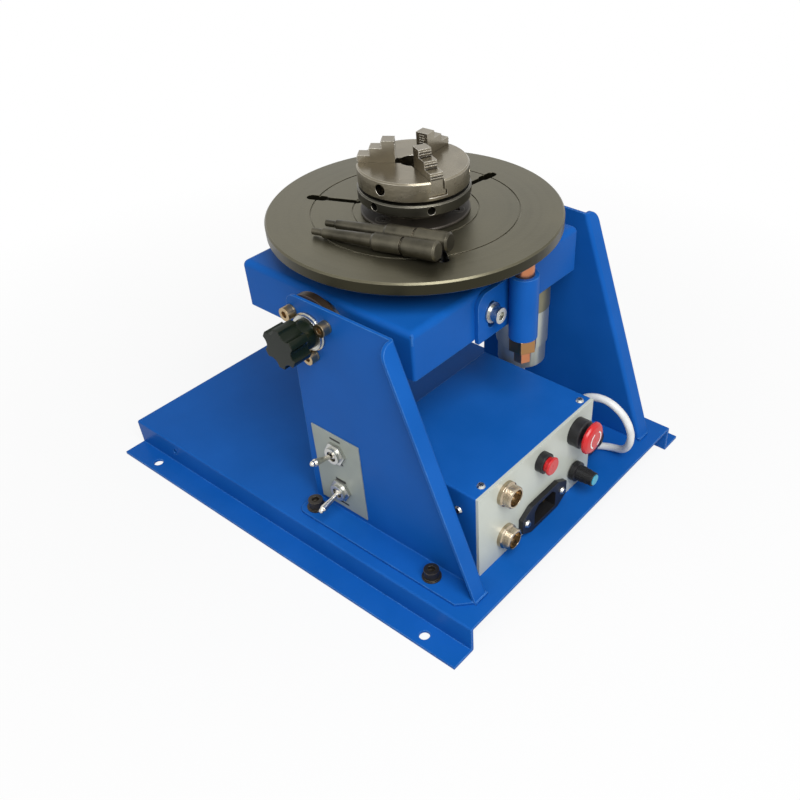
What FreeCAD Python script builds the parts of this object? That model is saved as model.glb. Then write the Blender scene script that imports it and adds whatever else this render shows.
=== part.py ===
import FreeCAD, Part
import math
import os
from types import SimpleNamespace

import Sketcher
from FreeCAD import Placement, Rotation, Vector

# Bench welding positioner: a sheet-steel base with two uprights, a tray that tilts between
# them, a geared turntable on the tray, a small scroll chuck on the table and a control box.
# Frame: origin at the centre of the base at floor level, +X towards the control panel,
# +Z up, millimetres. "Left" is the -Y side, the side with the clamp knob and the switches.

doc = FreeCAD.newDocument("WeldingPositioner")

# ---------------------------------------------------------------- driving dimensions
SIZES = {
    # folded sheet
    "sheet": 2.0,
    "bend_inner": 0.6,
    "seat_gap": 0.3,
    "run_gap": 0.05,
    "thread_gap": 0.05,
    "fit_gap": 0.02,
    # base plate: an upturned channel with outward flanges
    "base_length": 325.0,
    "base_width": 240.0,
    "base_flange": 16.5,
    "base_height": 21.5,
    "base_bend_outer": 1.4,
    "base_bend_inner": 0.4,
    "base_hole_x": 265.0,
    "base_hole_y": 258.0,
    "base_hole_radius": 3.5,
    "leg_hole_x": -120.0,
    "leg_hole_radius": 2.0,
    # uprights
    "upright_outer": 94.0,
    "upright_top": 182.3,
    "upright_rear_top": 10.3,
    "upright_front_top": 92.6,
    "upright_front_foot": 153.5,
    "upright_corner": 7.0,
    "front_flange": 9.8,
    "flange_corner": 8.0,
    "foot_width": 18.3,
    "foot_rear": 6.5,
    "foot_front": 153.5,
    "foot_corner": 6.0,
    "foot_chamfer": 10.0,
    "foot_screw_rear": 15.5,
    "foot_screw_front": 118.0,
    "foot_screw_out": 9.5,
    "foot_hole_radius": 3.3,
    "foot_screw_radius": 3.0,
    "washer_thick": 1.0,
    # tilt axis and its friction pivot
    "tilt_x": 28.0,
    "tilt_height": 163.6,
    "stub_radius": 10.0,
    "stub_end": 0.6,
    "ring_radius": 21.0,
    "ring_thick": 5.0,
    "collar_radius": 14.0,
    "ring_screw_circle": 16.2,
    "ring_hole_radius": 2.75,
    "stud_radius": 4.0,
    "stud_depth": 10.0,
    "friction_disc_radius": 11.7,
    "friction_disc_thick": 1.5,
    "clamp_washer_radius": 11.0,
    "clamp_washer_thick": 2.0,
    "knob_radius": 12.5,
    "knob_head": 13.0,
    "knob_hub_radius": 9.0,
    "knob_hub": 8.0,
    "knob_scallop": 5.0,
    "knob_lobes": 6,
    # tilting tray
    "tray_rear": -43.0,
    "tray_front": 93.8,
    "tray_width": 161.0,
    "tray_top": 179.4,
    "tray_depth": 30.6,
    "tray_corner": 4.0,
    # turntable
    "table_x": 28.0,
    "table_radius": 90.0,
    "table_thick": 8.0,
    "table_under": 194.4,
    "table_chamfer": 1.0,
    "groove_outer": 63.0,
    "groove_inner": 38.0,
    "groove_width": 1.0,
    "groove_depth": 0.6,
    "slot_angle": -35.5,
    "slot_inner": 37.0,
    "slot_outer": 70.0,
    "slot_width": 4.2,
    "slot_end_width": 6.6,
    "slot_end_length": 14.0,
    # spindle, its bearings and the gear pair
    "spindle_radius": 10.0,
    "spindle_bore": 5.5,
    "spindle_flange_radius": 32.0,
    "spindle_flange_thick": 8.0,
    "spindle_end": 141.5,
    "bearing_radius": 21.0,
    "bearing_width": 12.0,
    "bearing_gap": 1.0,
    "housing_radius": 27.0,
    "housing_flange_radius": 36.0,
    "housing_flange_thick": 5.0,
    "housing_ridge": 2.0,
    "housing_screw_circle": 31.5,
    "gear_module": 1.5,
    "gear_teeth": 76,
    "pinion_teeth": 18,
    "gear_bottom": 149.6,
    "gear_face": 8.0,
    "gear_hub_radius": 14.0,
    "gear_backlash": 0.12,
    "nut_across": 30.0,
    "nut_height": 6.0,
    # gear motor
    "motor_angle": 56.0,
    "gearbox_radius": 18.5,
    "gearbox_length": 21.5,
    "motor_radius": 18.0,
    "motor_length": 28.2,
    "motor_end_radius": 16.8,
    "motor_end_length": 15.5,
    "motor_shaft_radius": 3.0,
    "motor_bracket_top": 148.0,
    "motor_bracket_width": 36.0,
    # scroll chuck
    "backplate_radius": 33.0,
    "backplate_thick": 2.0,
    "backplate_screw_circle": 26.0,
    "chuck_radius": 33.0,
    "chuck_thick": 10.7,
    "chuck_neck": 19.0,
    "chuck_bore": 8.0,
    "chuck_top": 231.6,
    "scroll_radius": 33.8,
    "scroll_thick": 7.0,
    "scroll_groove": 2.0,
    "scroll_hole_radius": 2.4,
    "scroll_hole_depth": 8.0,
    "key_hole_radius": 3.2,
    "jaw_angle": -23.5,
    "jaw_inner": 10.0,
    "jaw_length": 21.5,
    "jaw_width": 8.0,
    "jaw_rise": 12.6,
    "jaw_step": 4.2,
    "jaw_guide_width": 11.0,
    "jaw_guide_height": 3.0,
    "jaw_slot_depth": 9.0,
    "jaw_gap": 0.15,
    "jaw_travel": 7.0,
    # tommy bars
    "bar_length": 81.0,
    "bar_head_radius": 5.6,
    "bar_head": 20.0,
    "bar_grip": 17.0,
    "bar_groove": 2.0,
    "bar_shank_radius": 3.9,
    "bar_shank_small": 2.9,
    "bar_tip_radius": 2.0,
    "bar_tip": 6.5,
    # earth brush
    "brush_x": 105.6,
    "brush_y": 5.5,
    "brush_tube_radius": 9.0,
    "brush_tube_top": 182.0,
    "brush_tube_bottom": 140.0,
    "brush_radius": 6.1,
    "brush_length": 38.0,
    "brush_nut_across": 16.0,
    "brush_nut_height": 8.7,
    "brush_plug_across": 10.0,
    "brush_plug_height": 8.65,
    "brush_bracket_thick": 3.0,
    "brush_bracket_left": -27.0,
    "brush_bracket_right": 6.0,
    "brush_bracket_bottom": 146.5,
    "brush_bracket_top": 178.0,
    "brush_bolt_y": -14.5,
    "brush_bolt_height": 163.0,
    # switch plate and toggles on the left upright
    "plate_rear": 14.0,
    "plate_length": 41.0,
    "plate_bottom": 27.8,
    "plate_height": 62.0,
    "plate_thick": 0.8,
    "toggle_x": 34.4,
    "upper_toggle": 75.6,
    "lower_toggle": 44.0,
    "toggle_bush_radius": 5.9,
    "toggle_bush": 5.0,
    "toggle_nut_across": 14.5,
    "toggle_nut": 2.4,
    "toggle_lever": 17.0,
    "toggle_lever_radius": 1.5,
    "toggle_tip_radius": 2.5,
    "toggle_ball": 2.8,
    "toggle_pin_radius": 1.0,
    "toggle_pin_half": 3.4,
    "toggle_throw": 15.0,
    # control box
    "box_rear": 50.0,
    "box_front": 140.6,
    "box_left": -84.1,
    "box_right": 39.0,
    "box_top": 87.2,
    "box_sheet": 1.0,
    "panel_tab": 11.0,
    # panel controls, (y, z) on the panel
    "socket_y": -58.0,
    "upper_socket": 74.5,
    "lower_socket": 38.0,
    "socket_radius": 7.2,
    "socket_nut_radius": 8.4,
    "socket_reach": 8.5,
    "socket_bore": 5.8,
    "button_y": -20.5,
    "button_height": 74.0,
    "button_bore": 6.0,
    "estop_y": 19.0,
    "estop_height": 73.0,
    "speed_y": 19.5,
    "speed_height": 38.5,
    "pot_bush": 3.6,
    "inlet_y": -18.0,
    "inlet_height": 33.6,
    "inlet_screw_spacing": 40.0,
    "inlet_flange": 3.5,
    "inlet_body": 28.0,
    # cable gland on the right side of the box
    "gland_x": 131.5,
    "gland_height": 38.5,
    "gland_bush": 6.0,
    "gland_radius": 9.0,
    "gland_wire_radius": 1.6,
    "grommet_x": 120.5,
    "grommet_height": 27.8,
    "grommet_hole": 4.2,
    "grommet_radius": 5.5,
    "grommet_bore": 3.2,
    "grommet_mouth": 3.8,
    "cable_radius": 2.7,
}

sheet = doc.addObject("Spreadsheet::Sheet", "Sizes")
for row, (alias, number) in enumerate(SIZES.items(), start=1):
    sheet.set("A%d" % row, alias)
    sheet.set("B%d" % row, str(number))
    sheet.setAlias("B%d" % row, alias)
doc.recompute()


class Size:
    """A length that carries its value and the spreadsheet formula it comes from."""

    def __init__(self, value, text):
        self.value = value
        self.text = text

    def __add__(self, other):
        other = as_size(other)
        return Size(self.value + other.value, "(%s + %s)" % (self.text, other.text))

    def __sub__(self, other):
        other = as_size(other)
        return Size(self.value - other.value, "(%s - %s)" % (self.text, other.text))

    def __mul__(self, other):
        other = as_size(other)
        return Size(self.value * other.value, "(%s * %s)" % (self.text, other.text))

    def __truediv__(self, other):
        other = as_size(other)
        return Size(self.value / other.value, "(%s / %s)" % (self.text, other.text))

    def __radd__(self, other):
        return as_size(other) + self

    def __rsub__(self, other):
        return as_size(other) - self

    def __rmul__(self, other):
        return as_size(other) * self

    def __neg__(self):
        return Size(-self.value, "(0 - %s)" % self.text)

    def __float__(self):
        return float(self.value)


def as_size(number):
    if isinstance(number, Size):
        return number
    return Size(float(number), "(%r)" % float(number))


def root(size):
    return Size(math.sqrt(size.value), "sqrt(%s)" % size.text)


def turned(angle, reach, across=0.0):
    """The x and y of a point at a reach and a sideways offset, turned by an angle in degrees."""
    angle = as_size(angle)
    reach = as_size(reach)
    across = as_size(across)
    radians = math.radians(angle.value)
    cosine = Size(math.cos(radians), "cos(%s * 1deg)" % angle.text)
    sine = Size(math.sin(radians), "sin(%s * 1deg)" % angle.text)
    return reach * cosine - across * sine, reach * sine + across * cosine


d = SimpleNamespace(**{alias: Size(float(sheet.get(alias)), "Sizes." + alias) for alias in SIZES})

# ---------------------------------------------------------------- modelling helpers
UPRIGHT = Rotation()
FACE_RIGHT = Rotation(Vector(1, 0, 0), -90)     # local +Z points to +Y
FACE_LEFT = Rotation(Vector(1, 0, 0), 90)       # local +Z points to -Y
FACE_FRONT = Rotation(Vector(0, 1, 0), 90)      # local +Z points to +X
FACE_DOWN = Rotation(Vector(1, 0, 0), 180)      # local +Z points to -Z
nodes = {}


def bind(item, path, amount):
    """Tie a property to its spreadsheet formula."""
    item.setExpression(path, as_size(amount).text)


def place(item, x=0.0, y=0.0, z=0.0, rotation=UPRIGHT):
    item.Placement = Placement(Vector(float(x), float(y), float(z)), rotation)
    for axis, amount in (("x", x), ("y", y), ("z", z)):
        if isinstance(amount, Size):
            bind(item, ".Placement.Base." + axis, amount)
    return item


def keep(label, item):
    """Name a finished piece, so that it is written to its own file."""
    item.Label = label
    nodes[label] = item
    return item


def box(x, y, z, length, width, height, rotation=UPRIGHT):
    item = doc.addObject("Part::Box", "Block")
    for path, amount in (("Length", length), ("Width", width), ("Height", height)):
        setattr(item, path, float(amount))
        bind(item, path, amount)
    return place(item, x, y, z, rotation)


def rod(x, y, z, radius, height, rotation=UPRIGHT):
    item = doc.addObject("Part::Cylinder", "Rod")
    item.Radius = float(radius)
    item.Height = float(height)
    bind(item, "Radius", radius)
    bind(item, "Height", height)
    return place(item, x, y, z, rotation)


def cone(x, y, z, radius1, radius2, height, rotation=UPRIGHT):
    item = doc.addObject("Part::Cone", "Taper")
    for path, amount in (("Radius1", radius1), ("Radius2", radius2), ("Height", height)):
        setattr(item, path, float(amount))
        bind(item, path, amount)
    return place(item, x, y, z, rotation)


def ball(radius):
    item = doc.addObject("Part::Sphere", "Ball")
    item.Radius = float(radius)
    bind(item, "Radius", radius)
    return item


def hexagon(x, y, z, across_flats, height, rotation=UPRIGHT):
    item = doc.addObject("Part::Prism", "Hexagon")
    item.Polygon = 6
    item.Circumradius = float(across_flats) / math.sqrt(3)
    item.Height = float(height)
    bind(item, "Circumradius", as_size(across_flats) / math.sqrt(3))
    bind(item, "Height", height)
    return place(item, x, y, z, rotation)


def fuse(*items):
    item = doc.addObject("Part::MultiFuse", "Joined")
    item.Shapes = list(items)
    item.Refine = True
    return item


def cut(base, *tools):
    item = doc.addObject("Part::Cut", "Cutout")
    item.Base = base
    item.Tool = tools[0] if len(tools) == 1 else fuse(*tools)
    return item


def group(*items):
    """Separate solids that share one node."""
    item = doc.addObject("Part::Compound", "Group")
    item.Links = list(items)
    return item


def sketch_on(body, role, offset=0.0):
    """A sketch on one of the body's own origin planes, moved along the plane's normal."""
    plane = [feature for feature in body.Origin.OriginFeatures if feature.Role == role][0]
    sketch = body.newObject("Sketcher::SketchObject", "Profile")
    sketch.AttachmentSupport = (plane, [""])
    sketch.MapMode = "FlatFace"
    if isinstance(offset, Size):
        sketch.AttachmentOffset = Placement(Vector(0, 0, offset.value), Rotation())
        bind(sketch, ".AttachmentOffset.Base.z", offset)
    return sketch


def pin_point(sketch, geometry, end, x, y):
    """Hold one point of a sketch at its two distances from the origin."""
    for kind, axis, amount in (("DistanceX", -2, x), ("DistanceY", -1, y)):
        if float(amount) == 0:
            sketch.addConstraint(Sketcher.Constraint("PointOnObject", geometry, end, axis))
            continue
        number = sketch.addConstraint(
            Sketcher.Constraint(kind, -1, 1, geometry, end, float(amount)))
        bind(sketch, "Constraints[%d]" % number, amount)


def outline(sketch, points):
    """A closed straight-sided outline; each coordinate is a Size, or 0 on an axis."""
    corners = [Vector(float(x), float(y), 0) for x, y in points]
    first = sketch.GeometryCount
    count = len(corners)
    for index, corner in enumerate(corners):
        sketch.addGeometry(Part.LineSegment(corner, corners[(index + 1) % count]), False)
    for index, (x, y) in enumerate(points):
        following = first + (index + 1) % count
        sketch.addConstraint(Sketcher.Constraint("Coincident", first + index, 2, following, 1))
        pin_point(sketch, first + index, 1, x, y)
    return sketch


def ring(sketch, x, y, radius):
    """A full circle with its centre held like an outline's corner."""
    centre = Vector(float(x), float(y), 0)
    number = sketch.addGeometry(Part.Circle(centre, Vector(0, 0, 1), float(radius)), False)
    pin_point(sketch, number, 3, x, y)
    held = sketch.addConstraint(Sketcher.Constraint("Radius", number, float(radius)))
    bind(sketch, "Constraints[%d]" % held, radius)
    return sketch


def new_body(label):
    body = doc.addObject("PartDesign::Body", "Body")
    body.Label = label
    return body


def pad(body, sketch, length, reverse=False, midplane=False):
    feature = body.newObject("PartDesign::Pad", "Pad")
    feature.Profile = sketch
    feature.Length = float(length)
    bind(feature, "Length", length)
    feature.Reversed = reverse
    feature.Midplane = midplane
    doc.recompute()
    return feature


def pocket(body, sketch):
    """Cut a profile right through, both ways from its plane."""
    before = body.Shape.Volume
    feature = body.newObject("PartDesign::Pocket", "Pocket")
    feature.Profile = sketch
    feature.Type = "ThroughAll"
    feature.Midplane = True
    doc.recompute()
    if body.Shape.Volume >= before:
        raise RuntimeError("nothing was cut from " + body.Label)
    return feature


def turn(label, points, x=0.0, y=0.0, z=0.0, rotation=UPRIGHT):
    """A turned piece: (radius, height) corners revolved about the body's own Z axis."""
    body = new_body(label)
    sketch = outline(sketch_on(body, "XZ_Plane"), points)
    feature = body.newObject("PartDesign::Revolution", "Revolution")
    feature.Profile = sketch
    axis = [item for item in body.Origin.OriginFeatures if item.Role == "Z_Axis"][0]
    feature.ReferenceAxis = (axis, [""])
    feature.Angle = 360
    doc.recompute()
    return place(body, x, y, z, rotation)


def edges_at(shape, *tests):
    """Names of the edges whose middle passes one of the tests."""
    names = []
    for number, edge in enumerate(shape.Edges, start=1):
        middle = edge.valueAt((edge.FirstParameter + edge.LastParameter) / 2)
        if any(test(edge, middle) for test in tests):
            names.append("Edge%d" % number)
    return names


def round_edges(body, radius, *tests):
    base = body.Tip
    names = edges_at(base.Shape, *tests)
    if not names:
        raise RuntimeError("no edge to round on " + body.Label)
    feature = body.newObject("PartDesign::Fillet", "Fillet")
    feature.Base = (base, names)
    feature.Radius = float(radius)
    bind(feature, "Radius", radius)
    doc.recompute()
    return feature


def near(value, target, slack=0.01):
    return abs(value - float(target)) < slack


# ---------------------------------------------------------------- positions shared by pieces
half_width = d.base_width / 2
flange_edge = half_width + d.base_flange
base_under = d.base_height - d.sheet
foot_top = d.base_height + d.sheet
outer_bend = d.bend_inner + d.sheet
upright_inner = d.upright_outer - d.sheet
foot_screw_y = d.upright_outer + d.foot_screw_out
tray_side = d.tray_width / 2
tray_under = d.tray_top - d.sheet
tray_bottom = d.tray_top - d.tray_depth
table_top = d.table_under + d.table_thick
flange_bottom = d.table_under - d.spindle_flange_thick
housing_top = flange_bottom - 1.5
upper_bearing = housing_top - d.bearing_width
lower_bearing = upper_bearing - d.bearing_gap - d.bearing_width
gear_top = d.gear_bottom + d.gear_face
gear_pitch = d.gear_module * d.gear_teeth / 2
pinion_pitch = d.gear_module * d.pinion_teeth / 2
motor_dx, motor_y = turned(d.motor_angle, gear_pitch + pinion_pitch)
motor_x = d.table_x + motor_dx
gearbox_top = d.motor_bracket_top - d.sheet
gearbox_bottom = gearbox_top - d.gearbox_length
motor_step = gearbox_bottom - d.motor_length
motor_bottom = motor_step - d.motor_end_length
backplate_top = table_top + d.backplate_thick
chuck_under = d.chuck_top - d.chuck_thick
scroll_top = chuck_under - d.scroll_groove
scroll_bottom = scroll_top - d.scroll_thick
knob_seat = d.upright_outer + d.friction_disc_thick + d.clamp_washer_thick
stub_face = d.upright_outer - d.stub_end
plate_face = d.upright_outer + d.plate_thick
SIDES = (-1, 1)
THIRDS = (0.0, 120.0, 240.0)


def extruded(label, role, offset, points, length, midplane=False, reverse=False):
    """A straight-sided section of the body's own plane, padded to a length."""
    body = new_body(label)
    pad(body, outline(sketch_on(body, role, offset), points), length, reverse, midplane)
    return body


def cap_screw(radius, length):
    """Socket cap screw, standing on its seat at the origin with its shank below."""
    head = rod(0, 0, 0, radius * 1.65, radius * 2)
    shank = rod(0, 0, -length, radius, length)
    socket = hexagon(0, 0, radius, radius * 1.6, radius * 2)
    return cut(fuse(shank, head), socket)


def pan_screw(radius, length):
    """Pan-head screw, standing on its seat at the origin with its shank below."""
    head = cone(0, 0, 0, radius * 1.9, radius * 1.3, radius)
    shank = rod(0, 0, -length, radius, length)
    return fuse(shank, head)


def washer(bore, radius, thick):
    return cut(rod(0, 0, 0, radius, thick), rod(0, 0, -thick, bore, thick * 3))


def hex_nut(bore, across_flats, height):
    return cut(hexagon(0, 0, 0, across_flats, height), rod(0, 0, -height, bore, height * 3))


# ---------------------------------------------------------------- base and uprights
def make_base_plate():
    inner = half_width - d.sheet
    body = extruded("base_section", "YZ_Plane", 0.0, [
        (-flange_edge, 0), (-inner, 0), (-inner, base_under), (inner, base_under),
        (inner, 0), (flange_edge, 0), (flange_edge, d.sheet), (half_width, d.sheet),
        (half_width, d.base_height), (-half_width, d.base_height),
        (-half_width, d.sheet), (-flange_edge, d.sheet)], d.base_length, midplane=True)
    round_edges(body, d.base_bend_outer,
                lambda edge, mid: near(abs(mid.y), half_width) and near(mid.z, d.base_height),
                lambda edge, mid: near(abs(mid.y), inner) and near(mid.z, 0))
    round_edges(body, d.base_bend_inner,
                lambda edge, mid: near(abs(mid.y), inner) and near(mid.z, base_under),
                lambda edge, mid: near(abs(mid.y), half_width) and near(mid.z, d.sheet))
    holes = []
    for along in SIDES:
        for side in SIDES:
            holes.append(rod(d.base_hole_x * along / 2, d.base_hole_y * side / 2, -d.sheet,
                             d.base_hole_radius, d.sheet * 3))
    for x in (d.foot_screw_rear, d.foot_screw_front):
        for side in SIDES:
            holes.append(rod(x, foot_screw_y * side, base_under - d.sheet,
                             d.foot_hole_radius, d.sheet * 3))
    holes.append(rod(d.leg_hole_x, -half_width - d.sheet, d.base_height * 0.6,
                     d.leg_hole_radius, d.sheet * 3, FACE_RIGHT))
    keep("base_plate", cut(body, *holes))


def make_upright(label, side, switch_heights):
    """One folded side plate with its front flange and its foot turned outwards."""
    lean = (d.upright_front_foot - d.upright_front_top) / (d.upright_top - d.base_height)
    flange_across = d.sheet * root(lean * lean + 1)
    outer = d.upright_outer + d.foot_width
    reverse = side > 0
    start = upright_inner * -side
    body = extruded(label + "_section", "XZ_Plane", start, [
        (d.foot_rear, d.base_height), (d.upright_front_foot, d.base_height),
        (d.upright_front_top, d.upright_top), (d.upright_rear_top, d.upright_top)],
        d.sheet, reverse=reverse)
    pad(body, outline(sketch_on(body, "XZ_Plane", start), [
        (d.upright_front_foot - flange_across, d.base_height),
        (d.upright_front_foot, d.base_height), (d.upright_front_top, d.upright_top),
        (d.upright_front_top - flange_across, d.upright_top)]),
        d.sheet + d.front_flange, reverse)
    pad(body, outline(sketch_on(body, "XY_Plane", d.base_height), [
        (d.foot_rear, upright_inner * side), (d.foot_rear, outer * side),
        (d.foot_front - d.foot_chamfer, outer * side),
        (d.foot_front, (outer - d.foot_chamfer) * side), (d.foot_front, upright_inner * side)]),
        d.sheet)

    def front_x(z):
        drop = d.upright_top.value - z
        return d.upright_front_top.value + lean.value * drop

    def sloped(edge, mid, y, x):
        return near(abs(mid.y), y) and near(mid.x, x) and edge.Length > d.upright_top.value / 2

    round_edges(body, outer_bend,
                lambda edge, mid: sloped(edge, mid, upright_inner, front_x(mid.z)))
    round_edges(body, d.bend_inner,
                lambda edge, mid: sloped(edge, mid, d.upright_outer,
                                         front_x(mid.z) - flange_across.value))
    round_edges(body, d.bend_inner,
                lambda edge, mid: near(abs(mid.y), d.upright_outer) and near(mid.z, foot_top)
                and edge.Length > d.foot_width.value)
    round_edges(body, d.upright_corner,
                lambda edge, mid: near(mid.x, d.upright_rear_top) and near(mid.z, d.upright_top))
    round_edges(body, d.foot_corner,
                lambda edge, mid: near(mid.x, d.foot_rear) and near(abs(mid.y), outer)
                and near(mid.z, foot_top - d.sheet / 2))
    inwards = -half_width * 2
    corner_y = d.upright_outer + d.front_flange - d.flange_corner
    corner_z = d.upright_top - d.flange_corner
    reach = d.flange_corner + 1
    low_y = corner_y if side > 0 else -corner_y - reach
    corner = cut(box(d.tilt_x, low_y, corner_z, d.upright_front_top, reach, reach),
                 rod(d.tilt_x - 1, corner_y * side, corner_z, d.flange_corner,
                     d.upright_front_top + 2, FACE_FRONT))
    holes = [corner, rod(d.tilt_x, inwards, d.tilt_height, d.stub_radius + d.run_gap,
                         -inwards * 2, FACE_RIGHT)]
    for angle in THIRDS:
        dx, dz = turned(angle + 30, d.ring_screw_circle)
        holes.append(rod(d.tilt_x + dx, inwards, d.tilt_height + dz, d.ring_hole_radius,
                         -inwards * 2, FACE_RIGHT))
    for height in switch_heights:
        holes.append(rod(d.toggle_x, inwards, height, d.toggle_bush_radius + d.run_gap,
                         -inwards * 2, FACE_RIGHT))
    for x in (d.foot_screw_rear, d.foot_screw_front):
        holes.append(rod(x, foot_screw_y * side, base_under, d.foot_hole_radius, d.sheet * 4))
    keep(label, cut(body, *holes))


def make_foot_screws():
    """Cap screw, washer and nut at each of the four corners of the feet."""
    solids = []
    nut_height = d.foot_screw_radius * 1.7
    reach = d.washer_thick + d.sheet * 2 + nut_height + d.sheet / 3
    bore = d.foot_screw_radius + d.thread_gap
    for x in (d.foot_screw_rear, d.foot_screw_front):
        for side in SIDES:
            y = foot_screw_y * side
            solids.append(place(cap_screw(d.foot_screw_radius, reach), x, y,
                                foot_top + d.washer_thick))
            solids.append(place(washer(bore, d.foot_screw_radius * 2.1, d.washer_thick),
                                x, y, foot_top))
            solids.append(place(hex_nut(bore, d.foot_screw_radius * 10 / 3, nut_height),
                                x, y, base_under - nut_height))
    keep("foot_screws", group(*solids))


def make_pivot_rings():
    """The steel brake rings screwed inside the uprights, and their screws and washers."""
    thick = d.ring_thick
    screw_radius = d.ring_hole_radius - 0.25
    rings = []
    screws = []
    for side in SIDES:
        rotation = FACE_RIGHT if side > 0 else FACE_LEFT
        holes = [rod(0, 0, -thick, d.stub_radius + d.run_gap, thick * 3)]
        for angle in THIRDS:
            dx, dz = turned(angle + 30, d.ring_screw_circle)
            holes.append(rod(dx, dz * -side, -thick, screw_radius + d.thread_gap, thick * 3))
            seat = d.upright_outer * side
            screws.append(place(washer(screw_radius + d.thread_gap, screw_radius * 1.65,
                                       d.washer_thick),
                                d.tilt_x + dx, seat, d.tilt_height + dz, rotation))
            screws.append(place(cap_screw(screw_radius, d.sheet + d.washer_thick + thick - 1),
                                d.tilt_x + dx, seat + d.washer_thick * side,
                                d.tilt_height + dz, rotation))
        plate = cut(rod(0, 0, 0, d.ring_radius, thick), *holes)
        rings.append(place(plate, d.tilt_x, (upright_inner - thick) * side,
                           d.tilt_height, rotation))
    keep("pivot_rings", group(*rings))
    keep("pivot_ring_screws", group(*screws))


# ---------------------------------------------------------------- switches on the left upright
def make_switches():
    holes = []
    switches = []
    for height in (d.upper_toggle, d.lower_toggle):
        holes.append(rod(d.toggle_x, -plate_face - d.sheet, height,
                         d.toggle_bush_radius + d.run_gap, d.sheet * 3, FACE_RIGHT))
        depth = d.toggle_bush * 2.2
        block = box(d.toggle_nut_across * -0.5, d.toggle_bush_radius * -1, -depth - d.sheet
                    - d.plate_thick, d.toggle_nut_across, d.toggle_bush_radius * 2, depth)
        bush = rod(0, 0, -d.sheet - d.plate_thick - 1, d.toggle_bush_radius,
                   d.toggle_bush + d.sheet + d.plate_thick + 1)
        mouth = rod(0, 0, -1.6, d.toggle_bush_radius * 0.62, d.toggle_bush * 2)
        nut = hexagon(0, 0, 0, d.toggle_nut_across, d.toggle_nut)
        switches.append(place(cut(fuse(block, bush, nut), mouth), d.toggle_x, -plate_face,
                              height, FACE_LEFT))
    plate = box(d.plate_rear, -plate_face, d.plate_bottom,
                d.plate_length, d.plate_thick, d.plate_height)
    keep("switch_plate", cut(plate, *holes))
    keep("toggle_switches", group(*switches))


def make_toggle_lever(label, height, lean):
    """A bat-shaped lever whose pivot lies inside the switch's bush."""
    end = d.toggle_lever + d.toggle_bush * 0.5
    body = turn(label + "_section", [
        (0, 0), (d.toggle_lever_radius, 0), (d.toggle_lever_radius, end * 0.35),
        (d.toggle_tip_radius, end * 0.82), (d.toggle_tip_radius * 0.72, end * 0.9),
        (d.toggle_tip_radius * 0.72, end * 0.95), (d.toggle_tip_radius * 0.4, end), (0, end)])
    pin = rod(-d.toggle_pin_half, 0, 0, d.toggle_pin_radius, d.toggle_pin_half * 2, FACE_FRONT)
    body = fuse(body, ball(d.toggle_ball), pin)
    rotation = FACE_LEFT.multiply(Rotation(Vector(1, 0, 0), -lean))
    keep(label, place(body, d.toggle_x, -plate_face - d.toggle_bush * 0.5, height, rotation))


# ---------------------------------------------------------------- tilting tray
def make_tray():
    mid_x = (d.tray_front + d.tray_rear) / 2
    body = extruded("tray_section", "XY_Plane", tray_bottom, [
        (d.tray_rear, -tray_side), (d.tray_front, -tray_side),
        (d.tray_front, tray_side), (d.tray_rear, tray_side)], d.tray_depth)
    round_edges(body, d.tray_corner / 2,
                lambda edge, mid: near(abs(mid.y), tray_side)
                and near(mid.z, (d.tray_top + tray_bottom) / 2))
    round_edges(body, d.tray_corner,
                lambda edge, mid: near(mid.z, d.tray_top) and (
                    near(abs(mid.y), tray_side) or near(mid.x, d.tray_rear)
                    or near(mid.x, d.tray_front)))
    hollow = box(d.tray_rear + d.sheet, d.sheet - tray_side, tray_bottom - d.sheet,
                 d.tray_front - d.tray_rear - d.sheet * 2, d.tray_width - d.sheet * 2,
                 d.tray_depth)
    holes = [hollow, rod(d.table_x, 0, tray_bottom, d.housing_radius + d.run_gap,
                         d.tray_depth * 2)]
    for angle in (45.0, 135.0, 225.0, 315.0):
        dx, dy = turned(angle, d.housing_screw_circle)
        holes.append(rod(d.table_x + dx, dy, tray_under - d.sheet, 2.25, d.sheet * 3))
    holes.append(rod(d.tray_front - d.sheet * 2, d.brush_bolt_y, d.brush_bolt_height, 3.3,
                     d.sheet * 3, FACE_FRONT))
    for dx in BRACKET_SCREWS:
        holes.append(rod(motor_x + dx, tray_side - d.sheet * 2, d.tilt_height, 2.25,
                         d.sheet * 3, FACE_RIGHT))
    keep("tilt_tray", cut(body, *holes))


BRACKET_SCREWS = (-9.0, 14.0)


def make_pivot_stubs():
    """Turned stubs welded to the tray's sides, threaded for the clamp stud and the bolt."""
    stubs = []
    length = stub_face - tray_side
    for side in SIDES:
        rotation = FACE_RIGHT if side > 0 else FACE_LEFT
        bore = rod(0, 0, length - d.stud_depth - 1, d.stud_radius + d.thread_gap, length)
        collar = rod(0, 0, 0, d.collar_radius, upright_inner - d.ring_thick - tray_side
                     - d.seat_gap)
        stub = cut(fuse(rod(0, 0, 0, d.stub_radius, length), collar), bore)
        stubs.append(place(stub, d.tilt_x, tray_side * side, d.tilt_height, rotation))
    keep("pivot_stubs", group(*stubs))


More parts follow.
